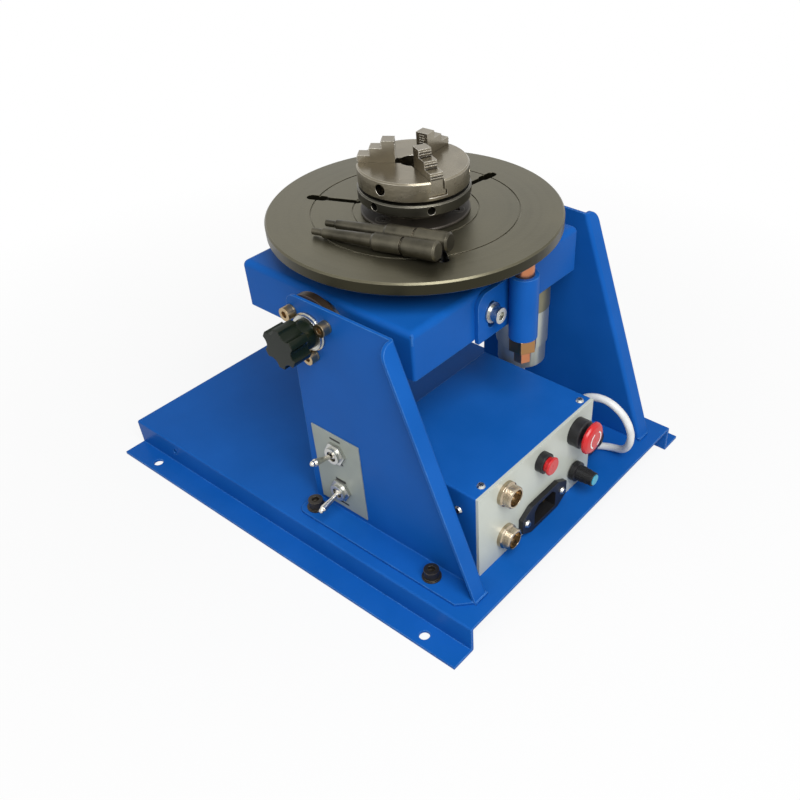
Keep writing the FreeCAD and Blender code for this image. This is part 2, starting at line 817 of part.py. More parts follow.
def make_clamp():
    """Friction disc, washer and star knob with its stud on the left pivot."""
    disc = washer(d.stud_radius + d.thread_gap, d.friction_disc_radius, d.friction_disc_thick)
    ring_plate = washer(d.stud_radius + d.thread_gap, d.clamp_washer_radius,
                        d.clamp_washer_thick)
    place(disc, d.tilt_x, -d.upright_outer, d.tilt_height, FACE_LEFT)
    place(ring_plate, d.tilt_x, -d.upright_outer - d.friction_disc_thick, d.tilt_height,
          FACE_LEFT)
    keep("clamp_washers", group(disc, ring_plate))
    knob_top = d.knob_hub + d.knob_head
    head = new_body("knob_head")
    pad(head, ring(sketch_on(head, "XY_Plane", d.knob_hub), 0, 0, d.knob_radius), d.knob_head)
    scallops = []
    for lobe in range(int(d.knob_lobes.value)):
        x, y = turned(lobe * 360.0 / d.knob_lobes.value, d.knob_radius + d.knob_scallop * 0.42)
        scallops.append(rod(x, y, 0, d.knob_scallop, knob_top * 2))
    hub = cone(0, 0, 0, d.knob_hub_radius, d.knob_hub_radius * 0.92, d.knob_hub)
    stud = rod(0, 0, stub_face - d.stud_depth - knob_seat, d.stud_radius,
               knob_seat - stub_face + d.stud_depth)
    knob = fuse(cut(head, *scallops), hub, stud)
    keep("clamp_knob", place(knob, d.tilt_x, -knob_seat, d.tilt_height, FACE_LEFT))
    bolt_seat = d.upright_outer + d.clamp_washer_thick
    bolt_washer = washer(d.stud_radius + d.thread_gap, d.clamp_washer_radius,
                         d.clamp_washer_thick)
    place(bolt_washer, d.tilt_x, d.upright_outer, d.tilt_height, FACE_RIGHT)
    bolt = fuse(hexagon(0, 0, 0, d.stud_radius * 3.25, d.stud_radius * 1.3),
                rod(0, 0, stub_face - d.stud_depth - bolt_seat, d.stud_radius,
                    bolt_seat - stub_face + d.stud_depth))
    place(bolt, d.tilt_x, bolt_seat, d.tilt_height, FACE_RIGHT)
    keep("right_pivot_bolt", group(bolt_washer, bolt))


# ---------------------------------------------------------------- turntable and gear train
def make_table():
    def grooved(radius):
        half = d.groove_width / 2
        floor = d.table_thick - d.groove_depth
        return [(radius + half, d.table_thick), (radius + half, floor),
                (radius - half, floor), (radius - half, d.table_thick)]

    rim = d.table_radius
    profile = [(0, 0), (rim - d.table_chamfer, 0), (rim, d.table_chamfer),
               (rim, d.table_thick - d.table_chamfer), (rim - d.table_chamfer, d.table_thick)]
    profile += grooved(d.groove_outer) + grooved(d.groove_inner) + [(0, d.table_thick)]
    disc = turn("table_section", profile)
    tools = [rod(0, 0, -d.table_thick, d.chuck_bore, d.table_thick * 3)]
    for turn_angle in THIRDS:
        angle = d.slot_angle + turn_angle
        depth = d.table_thick * 3
        wide = d.slot_end_length - d.slot_end_width
        centre = d.slot_outer - d.slot_end_width / 2
        slot = fuse(box(d.slot_inner, d.slot_width * -0.5, 0, centre - d.slot_inner,
                        d.slot_width, depth),
                    rod(d.slot_inner, 0, 0, d.slot_width / 2, depth),
                    box(centre - wide, d.slot_end_width * -0.5, 0, wide, d.slot_end_width, depth),
                    rod(centre - wide, 0, 0, d.slot_end_width / 2, depth),
                    rod(centre, 0, 0, d.slot_end_width / 2, depth))
        tools.append(place(slot, 0, 0, -d.table_thick,
                           Rotation(Vector(0, 0, 1), float(angle))))
        x, y = turned(angle + 60, d.backplate_screw_circle)
        tools.append(rod(x, y, -d.table_thick, 2.6, depth))
    keep("turntable", place(cut(disc, *tools), d.table_x, 0, d.table_under))


def make_spindle():
    collar = lower_bearing + d.bearing_width * 2 + d.bearing_gap + d.seat_gap
    flange = d.spindle_flange_radius
    body = turn("spindle_section", [
        (d.spindle_bore, d.spindle_end), (d.spindle_radius, d.spindle_end),
        (d.spindle_radius, collar), (d.spindle_radius * 1.3, collar),
        (d.spindle_radius * 1.3, flange_bottom), (flange, flange_bottom),
        (flange, d.table_under), (d.spindle_bore, d.table_under)])
    holes = []
    for angle in THIRDS:
        x, y = turned(d.slot_angle + 60 + angle, d.backplate_screw_circle)
        holes.append(rod(x, y, flange_bottom + 1, 2.5 + d.thread_gap, d.spindle_flange_thick))
    keep("spindle", place(cut(body, *holes), d.table_x))


def make_bearings():
    inner = d.spindle_radius + d.run_gap
    race = d.spindle_radius + 3
    cage = d.bearing_radius - 2.5
    outside = d.bearing_radius - d.fit_gap
    recess = Size(0.8, "0.8")
    bearings = []
    for bottom in (lower_bearing, upper_bearing):
        width = d.bearing_width
        bearings.append(turn("bearing", [
            (inner, 0), (race, 0), (race, recess), (cage, recess), (cage, 0), (outside, 0),
            (outside, width), (cage, width), (cage, width - recess), (race, width - recess),
            (race, width), (inner, width)], d.table_x, 0, bottom))
    keep("spindle_bearings", group(*bearings))
    ridge = d.bearing_radius - d.housing_ridge
    flange_top = d.tray_top + d.housing_flange_thick
    housing = turn("housing_section", [
        (d.bearing_radius, lower_bearing), (d.housing_radius, lower_bearing),
        (d.housing_radius, d.tray_top), (d.housing_flange_radius, d.tray_top),
        (d.housing_flange_radius, flange_top), (d.housing_radius, flange_top),
        (d.housing_radius, housing_top), (d.bearing_radius, housing_top),
        (d.bearing_radius, upper_bearing), (ridge, upper_bearing),
        (ridge, upper_bearing - d.bearing_gap), (d.bearing_radius, upper_bearing - d.bearing_gap)])
    holes = []
    screws = []
    for angle in (45.0, 135.0, 225.0, 315.0):
        x, y = turned(angle, d.housing_screw_circle)
        holes.append(rod(x, y, tray_under, 2.0 + d.thread_gap, d.tray_depth))
        screws.append(place(pan_screw(Size(2.0, "2.0"), d.sheet + d.housing_flange_thick),
                            d.table_x + x, y, flange_top))
    keep("bearing_housing", place(cut(housing, *holes), d.table_x))
    keep("housing_screws", group(*screws))


def gear_face(module, teeth, backlash):
    """A spur gear's outline with involute flanks, tooth 0 centred on +X."""
    pressure = math.radians(20)
    pitch = module * teeth / 2
    base = pitch * math.cos(pressure)
    tip = pitch + module
    foot = pitch - module * 1.25
    half_tooth = math.pi / (2 * teeth) - backlash / (4 * pitch)

    def half_angle(radius):
        roll = math.acos(min(1.0, base / radius))
        return half_tooth + (math.tan(pressure) - pressure) - (math.tan(roll) - roll)

    def point(radius, angle):
        return Vector(radius * math.cos(angle), radius * math.sin(angle), 0)

    start = max(base, foot)
    middle = (start + tip) / 2
    edges = []
    for tooth in range(teeth):
        centre = 2 * math.pi * tooth / teeth
        rising = [point(r, centre - half_angle(r)) for r in (start, middle, tip)]
        falling = [point(r, centre + half_angle(r)) for r in (tip, middle, start)]
        valley = 2 * math.pi / teeth - half_angle(start)
        below = [point(foot, centre + half_angle(start)), point(foot, centre + valley)]
        edges.append(Part.Arc(*rising).toShape())
        edges.append(Part.LineSegment(rising[2], falling[0]).toShape())
        edges.append(Part.Arc(*falling).toShape())
        if foot < start:
            edges.append(Part.LineSegment(falling[2], below[0]).toShape())
        edges.append(Part.LineSegment(below[0], below[1]).toShape())
        if foot < start:
            edges.append(Part.LineSegment(below[1], point(start, centre + valley)).toShape())
    return Part.Face(Part.Wire(edges))


def make_gears():
    teeth = int(d.gear_teeth.value)
    pinion_teeth = int(d.pinion_teeth.value)
    wheel = gear_face(d.gear_module.value, teeth, d.gear_backlash.value)
    wheel = wheel.extrude(Vector(0, 0, d.gear_face.value))
    hub_height = lower_bearing.value - d.seat_gap.value - d.gear_bottom.value
    wheel = wheel.fuse(Part.makeCylinder(d.gear_hub_radius.value, hub_height))
    wheel = wheel.cut(Part.makeCylinder(d.spindle_radius.value + d.fit_gap.value, hub_height))
    gear = doc.addObject("Part::Feature", "Gear")
    gear.Shape = wheel
    keep("spindle_gear", place(gear, d.table_x, 0, d.gear_bottom,
                               Rotation(Vector(0, 0, 1), d.motor_angle.value)))
    small = gear_face(d.gear_module.value, pinion_teeth, d.gear_backlash.value)
    small = small.extrude(Vector(0, 0, d.gear_face.value + 1))
    small = small.cut(Part.makeCylinder(d.motor_shaft_radius.value + d.fit_gap.value,
                                        d.gear_face.value + 1))
    pinion = doc.addObject("Part::Feature", "Pinion")
    pinion.Shape = small
    half_pitch = 180.0 / pinion_teeth
    place(pinion, motor_x, motor_y, d.gear_bottom - 0.5,
          Rotation(Vector(0, 0, 1), d.motor_angle.value + 180 + half_pitch))
    shaft = rod(motor_x, motor_y, gearbox_top + d.run_gap, d.motor_shaft_radius,
                gear_top - gearbox_top + 1)
    keep("motor_pinion", group(pinion, shaft))
    nut = hex_nut(d.spindle_radius + d.thread_gap, d.nut_across, d.nut_height)
    keep("spindle_nut", place(nut, d.table_x, 0, d.gear_bottom - d.nut_height))


def make_motor():
    plate_low = gearbox_top
    inside = tray_side - d.sheet
    bracket = extruded("bracket_section", "YZ_Plane", motor_x, [
        (motor_y - d.gearbox_radius - 1.5, plate_low), (inside, plate_low),
        (inside, tray_under), (inside - d.sheet, tray_under),
        (inside - d.sheet, d.motor_bracket_top),
        (motor_y - d.gearbox_radius - 1.5, d.motor_bracket_top)],
        d.motor_bracket_width, midplane=True)
    boss_radius = d.motor_shaft_radius * 2
    holes = [rod(motor_x, motor_y, plate_low - 1, boss_radius + d.seat_gap, d.sheet * 2)]
    screws = []
    for angle in (45.0, 135.0, 225.0, 315.0):
        dx, dy = turned(angle, d.gearbox_radius * 0.84)
        holes.append(cone(motor_x + dx, motor_y + dy, plate_low, 1.6, 3.1, d.sheet))
        flush = fuse(cone(0, 0, 0, 1.5, 3.0, d.sheet), rod(0, 0, -4.0, 1.5, 4.0))
        screws.append(place(flush, motor_x + dx, motor_y + dy, plate_low))
    for dx in BRACKET_SCREWS:
        holes.append(rod(motor_x + dx, inside - d.sheet * 2, d.tilt_height, 2.0 + d.thread_gap,
                         d.sheet * 3, FACE_RIGHT))
        screws.append(place(pan_screw(Size(2.0, "2.0"), d.sheet * 2), motor_x + dx, tray_side,
                            d.tilt_height, FACE_RIGHT))
    keep("motor_bracket", cut(bracket, *holes))
    keep("motor_screws", group(*screws))
    rim = Size(0.8, "0.8")
    case = turn("gearbox_section", [
        (0, gearbox_bottom), (d.gearbox_radius, gearbox_bottom),
        (d.gearbox_radius, gearbox_top), (boss_radius, gearbox_top),
        (boss_radius, d.motor_bracket_top - rim), (d.motor_shaft_radius + 0.4,
                                                   d.motor_bracket_top - rim),
        (d.motor_shaft_radius + 0.4, gearbox_top), (0, gearbox_top)])
    taps = []
    for angle in (45.0, 135.0, 225.0, 315.0):
        dx, dy = turned(angle, d.gearbox_radius * 0.84)
        taps.append(rod(dx, dy, gearbox_top - 5, 1.55, d.gearbox_length))
    keep("gearbox", place(cut(case, *taps), motor_x, motor_y))
    can = turn("motor_section", [
        (0, motor_bottom), (d.motor_end_radius - rim, motor_bottom),
        (d.motor_end_radius, motor_bottom + rim), (d.motor_end_radius, motor_step),
        (d.motor_radius - rim, motor_step), (d.motor_radius, motor_step + rim),
        (d.motor_radius, gearbox_bottom), (0, gearbox_bottom)], motor_x, motor_y)
    keep("motor_can", can)
    sleeve = cone(motor_x, motor_y, motor_bottom - 4, d.cable_radius + 1.2,
                  d.cable_radius + 2.4, 4.0)
    keep("lead_sleeve", cut(sleeve, rod(motor_x, motor_y, motor_bottom - 5,
                                        d.cable_radius + d.fit_gap, 6.0)))


# ---------------------------------------------------------------- scroll chuck
def make_chuck():
    plate = turn("backplate_section", [
        (d.chuck_bore, table_top), (d.backplate_radius - 0.5, table_top),
        (d.backplate_radius, table_top + 0.5), (d.backplate_radius, backplate_top - 0.5),
        (d.backplate_radius - 0.5, backplate_top), (d.chuck_bore, backplate_top)])
    holes = []
    screws = []
    for angle in THIRDS:
        x, y = turned(d.slot_angle + 60 + angle, d.backplate_screw_circle)
        holes.append(cone(x, y, table_top, 2.6, 4.6, d.backplate_thick))
        flush = fuse(cone(0, 0, 0, 2.5, 4.5, d.backplate_thick),
                     rod(0, 0, -d.table_thick - 5, 2.5, d.table_thick + 5))
        recess = hexagon(0, 0, d.backplate_thick - 1.5, 3.0, 3.0)
        screws.append(place(cut(flush, recess), d.table_x + x, y, table_top))
    keep("chuck_backplate", place(cut(plate, *holes), d.table_x))
    keep("backplate_screws", group(*screws))
    edge = Size(0.9, "0.9")
    body = turn("chuck_section", [
        (d.chuck_bore, backplate_top), (d.chuck_neck, backplate_top),
        (d.chuck_neck, chuck_under), (d.chuck_radius, chuck_under),
        (d.chuck_radius, d.chuck_top - edge), (d.chuck_radius - edge, d.chuck_top),
        (d.chuck_bore, d.chuck_top)])
    slot_floor = d.chuck_top - d.jaw_slot_depth
    tools = []
    for angle in THIRDS:
        rotation = Rotation(Vector(0, 0, 1), d.jaw_angle.value + angle)
        slot = fuse(box(0, d.jaw_width * -0.5 - d.jaw_gap, slot_floor, d.chuck_radius * 2,
                        d.jaw_width + d.jaw_gap * 2, d.chuck_thick),
                    box(0, d.jaw_guide_width * -0.5 - d.jaw_gap, slot_floor,
                        d.chuck_radius * 2, d.jaw_guide_width + d.jaw_gap * 2,
                        d.jaw_guide_height + d.jaw_gap * 2))
        tools.append(place(slot, 0, 0, 0, rotation))
        x, y = turned(d.jaw_angle + 60 + angle, d.chuck_radius - 12)
        key_hole = rod(0, 0, 0, d.key_hole_radius, 14.0)
        tools.append(place(key_hole, x, y, d.chuck_top - d.chuck_thick / 2,
                           rotation.multiply(Rotation(Vector(0, 0, 1), 60))
                           .multiply(FACE_FRONT)))
    keep("chuck_body", place(cut(body, *tools), d.table_x))


def make_scroll_ring():
    edge = Size(0.8, "0.8")
    inner = d.chuck_neck + d.run_gap
    body = turn("scroll_section", [
        (inner, scroll_bottom), (d.scroll_radius - edge, scroll_bottom),
        (d.scroll_radius, scroll_bottom + edge), (d.scroll_radius, scroll_top - edge),
        (d.scroll_radius - edge, scroll_top), (inner, scroll_top)])
    holes = []
    for number in range(6):
        angle = number * 60.0 - 32.0
        x, y = turned(angle, d.scroll_radius - d.scroll_hole_depth)
        rotation = Rotation(Vector(0, 0, 1), angle).multiply(FACE_FRONT)
        holes.append(place(rod(0, 0, 0, d.scroll_hole_radius, d.scroll_hole_depth * 2), x, y,
                           (scroll_top + scroll_bottom) / 2, rotation))
    keep("scroll_ring", place(cut(body, *holes), d.table_x))


def make_jaw(label, angle):
    """A three-step jaw with its guide, standing in its radial slot."""
    low = d.chuck_top - d.jaw_slot_depth + d.jaw_gap
    end = d.jaw_inner + d.jaw_length
    first = d.jaw_inner + d.jaw_length / 3
    second = d.jaw_inner + d.jaw_length * 2 / 3
    high = d.chuck_top + d.jaw_rise
    body = extruded(label + "_section", "XZ_Plane", 0.0, [
        (d.jaw_inner, low), (end, low), (end, high - d.jaw_step * 2),
        (second, high - d.jaw_step * 2), (second, high - d.jaw_step),
        (first, high - d.jaw_step), (first, high), (d.jaw_inner, high)],
        d.jaw_width, midplane=True)
    guide = box(d.jaw_inner + 4, d.jaw_guide_width * -0.5, low, d.jaw_length - 4,
                d.jaw_guide_width, d.jaw_guide_height)
    keep(label, place(fuse(body, guide), d.table_x, 0, 0,
                      Rotation(Vector(0, 0, 1), d.jaw_angle.value + angle)))


def make_tommy_bar(label, x, y):
    """A tommy bar lying on the table, its head towards the front."""
    tip_end = d.bar_tip
    head = d.bar_length - d.bar_head
    groove = head - d.bar_groove
    grip = groove - d.bar_grip
    soft = Size(1.0, "1.0")
    body = turn(label + "_section", [
        (0, 0), (d.bar_tip_radius, 0), (d.bar_tip_radius, tip_end),
        (d.bar_shank_small, tip_end + soft), (d.bar_shank_radius, grip - soft * 2),
        (d.bar_head_radius - 0.5, grip), (d.bar_head_radius - 0.5, groove),
        (d.bar_head_radius - 1.6, groove), (d.bar_head_radius - 1.6, head),
        (d.bar_head_radius, head), (d.bar_head_radius, d.bar_length - soft),
        (d.bar_head_radius - soft, d.bar_length), (0, d.bar_length)])
    rotation = Rotation(Vector(0, 0, 1), 12.5).multiply(Rotation(Vector(0, 1, 0), 86.35))
    keep(label, place(body, x, y, table_top + 2.6, rotation))


# ---------------------------------------------------------------- earth brush
def make_brush():
    bore = d.brush_radius + d.run_gap * 2
    face = d.tray_front
    length = d.brush_tube_top - d.brush_tube_bottom
    plate = extruded("brush_plate", "YZ_Plane", face, [
        (d.brush_bracket_left, d.brush_bracket_bottom),
        (d.brush_bracket_right, d.brush_bracket_bottom),
        (d.brush_bracket_right, d.brush_bracket_top), (d.brush_bracket_left,
                                                      d.brush_bracket_top)],
                     d.brush_bracket_thick)
    round_edges(plate, Size(9.0, "9.0"),
                lambda edge, mid: near(mid.y, d.brush_bracket_left)
                and near(mid.z, d.brush_bracket_top)
                and near(mid.x, face + d.brush_bracket_thick / 2))
    tube = rod(d.brush_x, d.brush_y, d.brush_tube_bottom, d.brush_tube_radius, length)
    slot = [rod(face - 1, d.brush_bolt_y, d.brush_bolt_height + dz, 3.3,
                d.brush_bracket_thick * 2, FACE_FRONT) for dz in (-7.0, 4.0)]
    slot.append(box(face - 1, d.brush_bolt_y - 3.3, d.brush_bolt_height - 7,
                    d.brush_bracket_thick * 2, 6.6, 11.0))
    bore_tool = rod(d.brush_x, d.brush_y, d.brush_tube_bottom - 1, bore, length + 2)
    keep("brush_holder", cut(fuse(plate, tube), bore_tool, *slot))
    seat = face + d.brush_bracket_thick
    bolt_washer = place(washer(3.0 + d.thread_gap, Size(6.5, "6.5"), Size(1.4, "1.4")),
                        seat, d.brush_bolt_y, d.brush_bolt_height, FACE_FRONT)
    bolt = place(cap_screw(Size(3.0, "3.0"), Size(14.0, "14.0")), seat + 1.4, d.brush_bolt_y,
                 d.brush_bolt_height, FACE_FRONT)
    keep("brush_bolt", group(bolt_washer, bolt))
    nut = hex_nut(4.0 + d.thread_gap, d.brush_nut_across, d.brush_nut_height)
    nut_bottom = d.brush_tube_bottom - d.brush_nut_height
    keep("brush_lock_nut", place(nut, d.brush_x, d.brush_y, nut_bottom))
    plug = fuse(hexagon(0, 0, -d.brush_plug_height, d.brush_plug_across, d.brush_plug_height),
                rod(0, 0, 0, 4.0, d.brush_nut_height + 5))
    keep("brush_end_plug", place(plug, d.brush_x, d.brush_y, nut_bottom))
    brush_top = d.table_under - d.seat_gap
    brush_bottom = brush_top - d.brush_length
    keep("copper_brush", rod(d.brush_x, d.brush_y, brush_bottom, d.brush_radius,
                             d.brush_length))
    spring_bottom = d.brush_tube_bottom + 5
    spring_height = brush_bottom - spring_bottom
    keep("brush_spring", cut(rod(d.brush_x, d.brush_y, spring_bottom, 4.8, spring_height),
                             rod(d.brush_x, d.brush_y, spring_bottom - 1, 3.6,
                                 spring_height + 2)))


# ---------------------------------------------------------------- control box and its controls
CONTROL_HOLES = (
    (d.socket_y, d.upper_socket, d.socket_radius), (d.socket_y, d.lower_socket, d.socket_radius),
    (d.button_y, d.button_height, d.button_bore), (d.estop_y, d.estop_height, d.button_bore),
    (d.speed_y, d.speed_height, d.pot_bush))
BOX_SCREWS = ((134.0, -73.1), (134.6, 31.6))


def make_box():
    floor = d.base_height
    inner_top = d.box_top - d.box_sheet
    panel_back = d.box_front - 2
    chassis = extruded("chassis_section", "XZ_Plane", -d.box_right + d.box_sheet + d.fit_gap, [
        (d.box_rear, floor), (d.box_front, floor), (d.box_front, inner_top),
        (d.box_front - d.panel_tab, inner_top), (d.box_front - d.panel_tab, inner_top - 2),
        (d.box_front - 2, inner_top - 2), (d.box_front - 2, floor + 2), (d.box_rear + 2, floor + 2),
        (d.box_rear + 2, inner_top - 2), (d.box_rear + d.panel_tab, inner_top - 2),
        (d.box_rear + d.panel_tab, inner_top), (d.box_rear, inner_top)],
        d.box_right - d.box_left - d.box_sheet * 2 - d.fit_gap * 2)
    holes = [rod(d.box_front - 4, y, z, radius + d.run_gap, 8.0, FACE_FRONT)
             for y, z, radius in CONTROL_HOLES]
    holes.append(box(d.box_front - 4, d.inlet_y - d.inlet_body / 2, d.inlet_height - 10.2, 8.0,
                     d.inlet_body, 20.4))
    inlet_screws = []
    for side in SIDES:
        y = d.inlet_y + d.inlet_screw_spacing * side / 2
        holes.append(rod(d.box_front - 4, y, d.inlet_height, 1.6, 8.0, FACE_FRONT))
    panel = box(panel_back, d.box_left, floor, d.box_front - panel_back,
                d.box_right - d.box_left, d.box_top - floor)
    keep("control_chassis", cut(fuse(chassis, panel), *holes))
    cover = extruded("cover_section", "YZ_Plane", d.box_rear, [
        (d.box_left, floor), (d.box_left + d.box_sheet, floor),
        (d.box_left + d.box_sheet, inner_top), (d.box_right - d.box_sheet, inner_top),
        (d.box_right - d.box_sheet, floor), (d.box_right, floor), (d.box_right, d.box_top),
        (d.box_left, d.box_top)], panel_back - d.run_gap - d.box_rear)
    round_edges(cover, Size(1.2, "1.2"),
                lambda edge, mid: near(mid.z, d.box_top)
                and (near(mid.y, d.box_left) or near(mid.y, d.box_right)))
    openings = [rod(d.gland_x, d.box_right - 5, d.gland_height, d.gland_bush + d.run_gap, 10.0,
                    FACE_RIGHT)]
    openings.append(rod(d.grommet_x, d.box_right - 5, d.grommet_height, d.grommet_hole, 10.0,
                        FACE_RIGHT))
    screws = []
    for x, y in BOX_SCREWS:
        openings.append(rod(x, y, inner_top - 1, 1.7, 4.0))
        screws.append(place(pan_screw(Size(1.5, "1.5"), d.box_sheet), x, y, d.box_top))
    openings.append(rod(125.3, d.box_left - 2, 71.1, 1.7, 5.0, FACE_RIGHT))
    screws.append(place(pan_screw(Size(1.5, "1.5"), d.box_sheet), 125.3, d.box_left, 71.1,
                        FACE_LEFT))
    keep("control_cover", cut(cover, *openings))
    face = d.box_front + d.inlet_flange
    for side in SIDES:
        y = d.inlet_y + d.inlet_screw_spacing * side / 2
        screws.append(place(pan_screw(Size(1.5, "1.5"), d.inlet_flange + 2), face, y,
                            d.inlet_height, FACE_FRONT))
    keep("box_screws", group(*screws))


def panel_turn(label, y, z, points):
    """A turned part whose axis stands out of the panel, its origin on the panel's face."""
    return place(turn(label, points), d.box_front, y, z, FACE_FRONT)


def make_sockets():
    shells = []
    for z in (d.upper_socket, d.lower_socket):
        edge = d.socket_radius
        shells.append(panel_turn("socket", d.socket_y, z, [
            (0, -14.0), (edge, -14.0), (edge, 0), (d.socket_nut_radius, 0),
            (d.socket_nut_radius, 2.6), (edge, 3.4), (edge, d.socket_reach - 0.6),
            (edge - 0.6, d.socket_reach), (d.socket_bore, d.socket_reach),
            (d.socket_bore, 3.0), (0, 3.0)]))
        for angle in (0.0, 120.0, 240.0):
            dx, dy = turned(angle, Size(3.4, "3.4"))
            shells.append(place(rod(0, 0, 3.0, 0.8, 3.0), d.box_front, d.socket_y + dx, z + dy,
                                FACE_FRONT))
    keep("pedal_sockets", group(*shells))


def make_button():
    bush = d.button_bore
    keep("button_bezel", panel_turn("bezel", d.button_y, d.button_height, [
        (5.2, -16.0), (bush, -16.0), (bush, 0), (7.0, 0), (7.0, 4.9), (6.4, 5.5), (5.2, 5.5)]))
    keep("button_cap", panel_turn("cap", d.button_y, d.button_height, [
        (0, -11.0), (5.15, -11.0), (5.15, 8.1), (6.2, 8.1), (6.2, 9.0), (5.5, 9.7), (0, 9.7)]))


def make_estop():
    bush = d.button_bore
    keep("estop_collar", panel_turn("collar", d.estop_y, d.estop_height, [
        (4.0, -18.0), (bush, -18.0), (bush, 0), (10.0, 0), (10.0, 7.2), (9.2, 8.0), (4.0, 8.0)]))
    keep("estop_stem", panel_turn("stem", d.estop_y, d.estop_height, [
        (0, -14.0), (3.95, -14.0), (3.95, 11.0), (2.5, 11.0), (2.5, 13.6), (0, 13.6)]))
    keep("estop_head", panel_turn("head", d.estop_y, d.estop_height, [
        (2.55, 11.1), (10.4, 11.1), (11.2, 11.8), (11.2, 13.0), (10.6, 14.2), (9.2, 15.2),
        (6.4, 15.8), (0, 15.9), (0, 13.7), (2.55, 13.7)]))


def make_speed():
    keep("speed_pot", panel_turn("pot", d.speed_y, d.speed_height, [
        (0, -15.0), (8.2, -15.0), (8.2, -2.0), (d.pot_bush, -2.0), (d.pot_bush, 1.6),
        (5.0, 1.6), (5.0, 3.6), (3.05, 3.6), (3.05, 0), (0, 0)]))
    knob = panel_turn("knob", d.speed_y, d.speed_height, [
        (0, 0.1), (3.0, 0.1), (3.0, 4.2), (5.6, 4.2), (5.6, 1.0), (7.1, 1.0), (7.1, 4.8),
        (5.5, 5.2), (4.4, 17.1), (3.9, 17.7), (0, 17.7)])
    keep("speed_knob", knob)


def make_inlet():
    """An appliance inlet: tapered flange, shrouded recess and three pins."""
    half = Size(25.0, "25.0")
    tall = Size(11.25, "11.25")
    flange = extruded("inlet_flange", "YZ_Plane", d.box_front, [
        (d.inlet_y - half, d.inlet_height - 5.5), (d.inlet_y - 15.0, d.inlet_height - tall),
        (d.inlet_y + 15.0, d.inlet_height - tall), (d.inlet_y + half, d.inlet_height - 5.5),
        (d.inlet_y + half, d.inlet_height + 5.5), (d.inlet_y + 15.0, d.inlet_height + tall),
        (d.inlet_y - 15.0, d.inlet_height + tall), (d.inlet_y - half, d.inlet_height + 5.5)],
        d.inlet_flange)
    shroud = box(d.box_front - 20, d.inlet_y - d.inlet_body / 2 + d.fit_gap,
                 d.inlet_height - 10, 21.0, d.inlet_body - d.fit_gap * 2, 20.0)
    mouth = extruded("inlet_mouth", "YZ_Plane", d.box_front - 16, [
        (d.inlet_y - 12, d.inlet_height - 8), (d.inlet_y + 12, d.inlet_height - 8),
        (d.inlet_y + 12, d.inlet_height + 4), (d.inlet_y + 8, d.inlet_height + 8),
        (d.inlet_y - 8, d.inlet_height + 8), (d.inlet_y - 12, d.inlet_height + 4)],
        Size(30.0, "30.0"))
    holes = [mouth]
    for side in SIDES:
        y = d.inlet_y + d.inlet_screw_spacing * side / 2
        holes.append(rod(d.box_front - 4, y, d.inlet_height, 1.6, 12.0, FACE_FRONT))
    keep("power_inlet", cut(fuse(flange, shroud), *holes))
    pins = []
    for dy, dz in ((-7.0, -2.0), (0.0, 2.0), (7.0, -2.0)):
        pins.append(box(d.box_front - 26, d.inlet_y + dy - 1, d.inlet_height + dz - 2, 24.0,
                        2.0, 4.0))
    keep("inlet_pins", group(*pins))


def make_electrics():
    floor = d.base_height + 2
    keep("power_supply", box(56.0, -76.0, floor, 52.0, 50.0, 34.0))
    parts = [box(58.0, -18.0, floor + 6, 50.0, 46.0, 1.6),
             box(64.0, -10.0, floor + 7.6, 12.0, 14.0, 16.0),
             box(88.0, 8.0, floor + 7.6, 14.0, 14.0, 12.0)]
    for x in (62.0, 104.0):
        for y in (-14.0, 24.0):
            parts.append(rod(x, y, floor, 2.5, 6.0))
    keep("control_board", fuse(*parts))


def make_cable():
    """Gland and grommet on the box's right side, and the cable to the gear motor."""
    wire = d.gland_wire_radius
    gland = turn("gland_section", [
        (wire, -8.0), (d.gland_bush, -8.0), (d.gland_bush, 0), (d.gland_radius, 0),
        (d.gland_radius, 19.0), (d.gland_radius - 1.5, 23.0), (d.gland_radius - 4, 26.0),
        (wire, 26.0)], d.gland_x, d.box_right, d.gland_height, FACE_RIGHT)
    sleeve = d.grommet_hole - d.run_gap
    grommet = turn("grommet_section", [
        (d.grommet_bore, -2.5), (sleeve, -2.5), (sleeve, 0), (d.grommet_radius, 0),
        (d.grommet_radius, 2.4), (d.grommet_radius - 0.6, 3.0), (d.grommet_mouth, 3.0),
        (d.grommet_bore, 0)],
        d.grommet_x, d.box_right, d.grommet_height, FACE_RIGHT)
    keep("cable_gland", group(gland, grommet))
    start = Vector(float(motor_x), float(motor_y), float(motor_bottom) - 0.05)
    end = Vector(d.grommet_x.value, d.box_right.value - 1.5, d.grommet_height.value)
    route = [start] + [Vector(*point) for point in CABLE_ROUTE] + [end]
    edges = []
    radii = []
    runs = [(following - point).Length for point, following in zip(route, route[1:])]
    previous = start
    for index in range(1, len(route) - 1):
        here = route[index]
        back = (route[index - 1] - here).normalize()
        ahead = (route[index + 1] - here).normalize()
        half_turn = (math.pi - back.getAngle(ahead)) / 2
        shorter = min(runs[index - 1], runs[index])
        reach = 0.45 * shorter
        radii.append(reach / math.tan(half_turn))
        entry = here + back * reach
        leave = here + ahead * reach
        bisector = (back + ahead).normalize()
        to_middle = radii[-1] / math.cos(half_turn) - radii[-1]
        edges.append(Part.makeLine(previous, entry))
        edges.append(Part.Arc(entry, here + bisector * to_middle, leave).toShape())
        previous = leave
    edges.append(Part.makeLine(previous, end))
    print("cable arc radii", [round(radius, 1) for radius in radii])
    print("cable runs", [round(length, 1) for length in runs])
    wire = Part.Wire(edges)
    section = Part.Wire(Part.makeCircle(d.cable_radius.value, start, route[1] - start))
    cable = doc.addObject("Part::Feature", "Cable")
    cable.Shape = wire.makePipeShell([section], True, True)
    keep("motor_cable", cable)


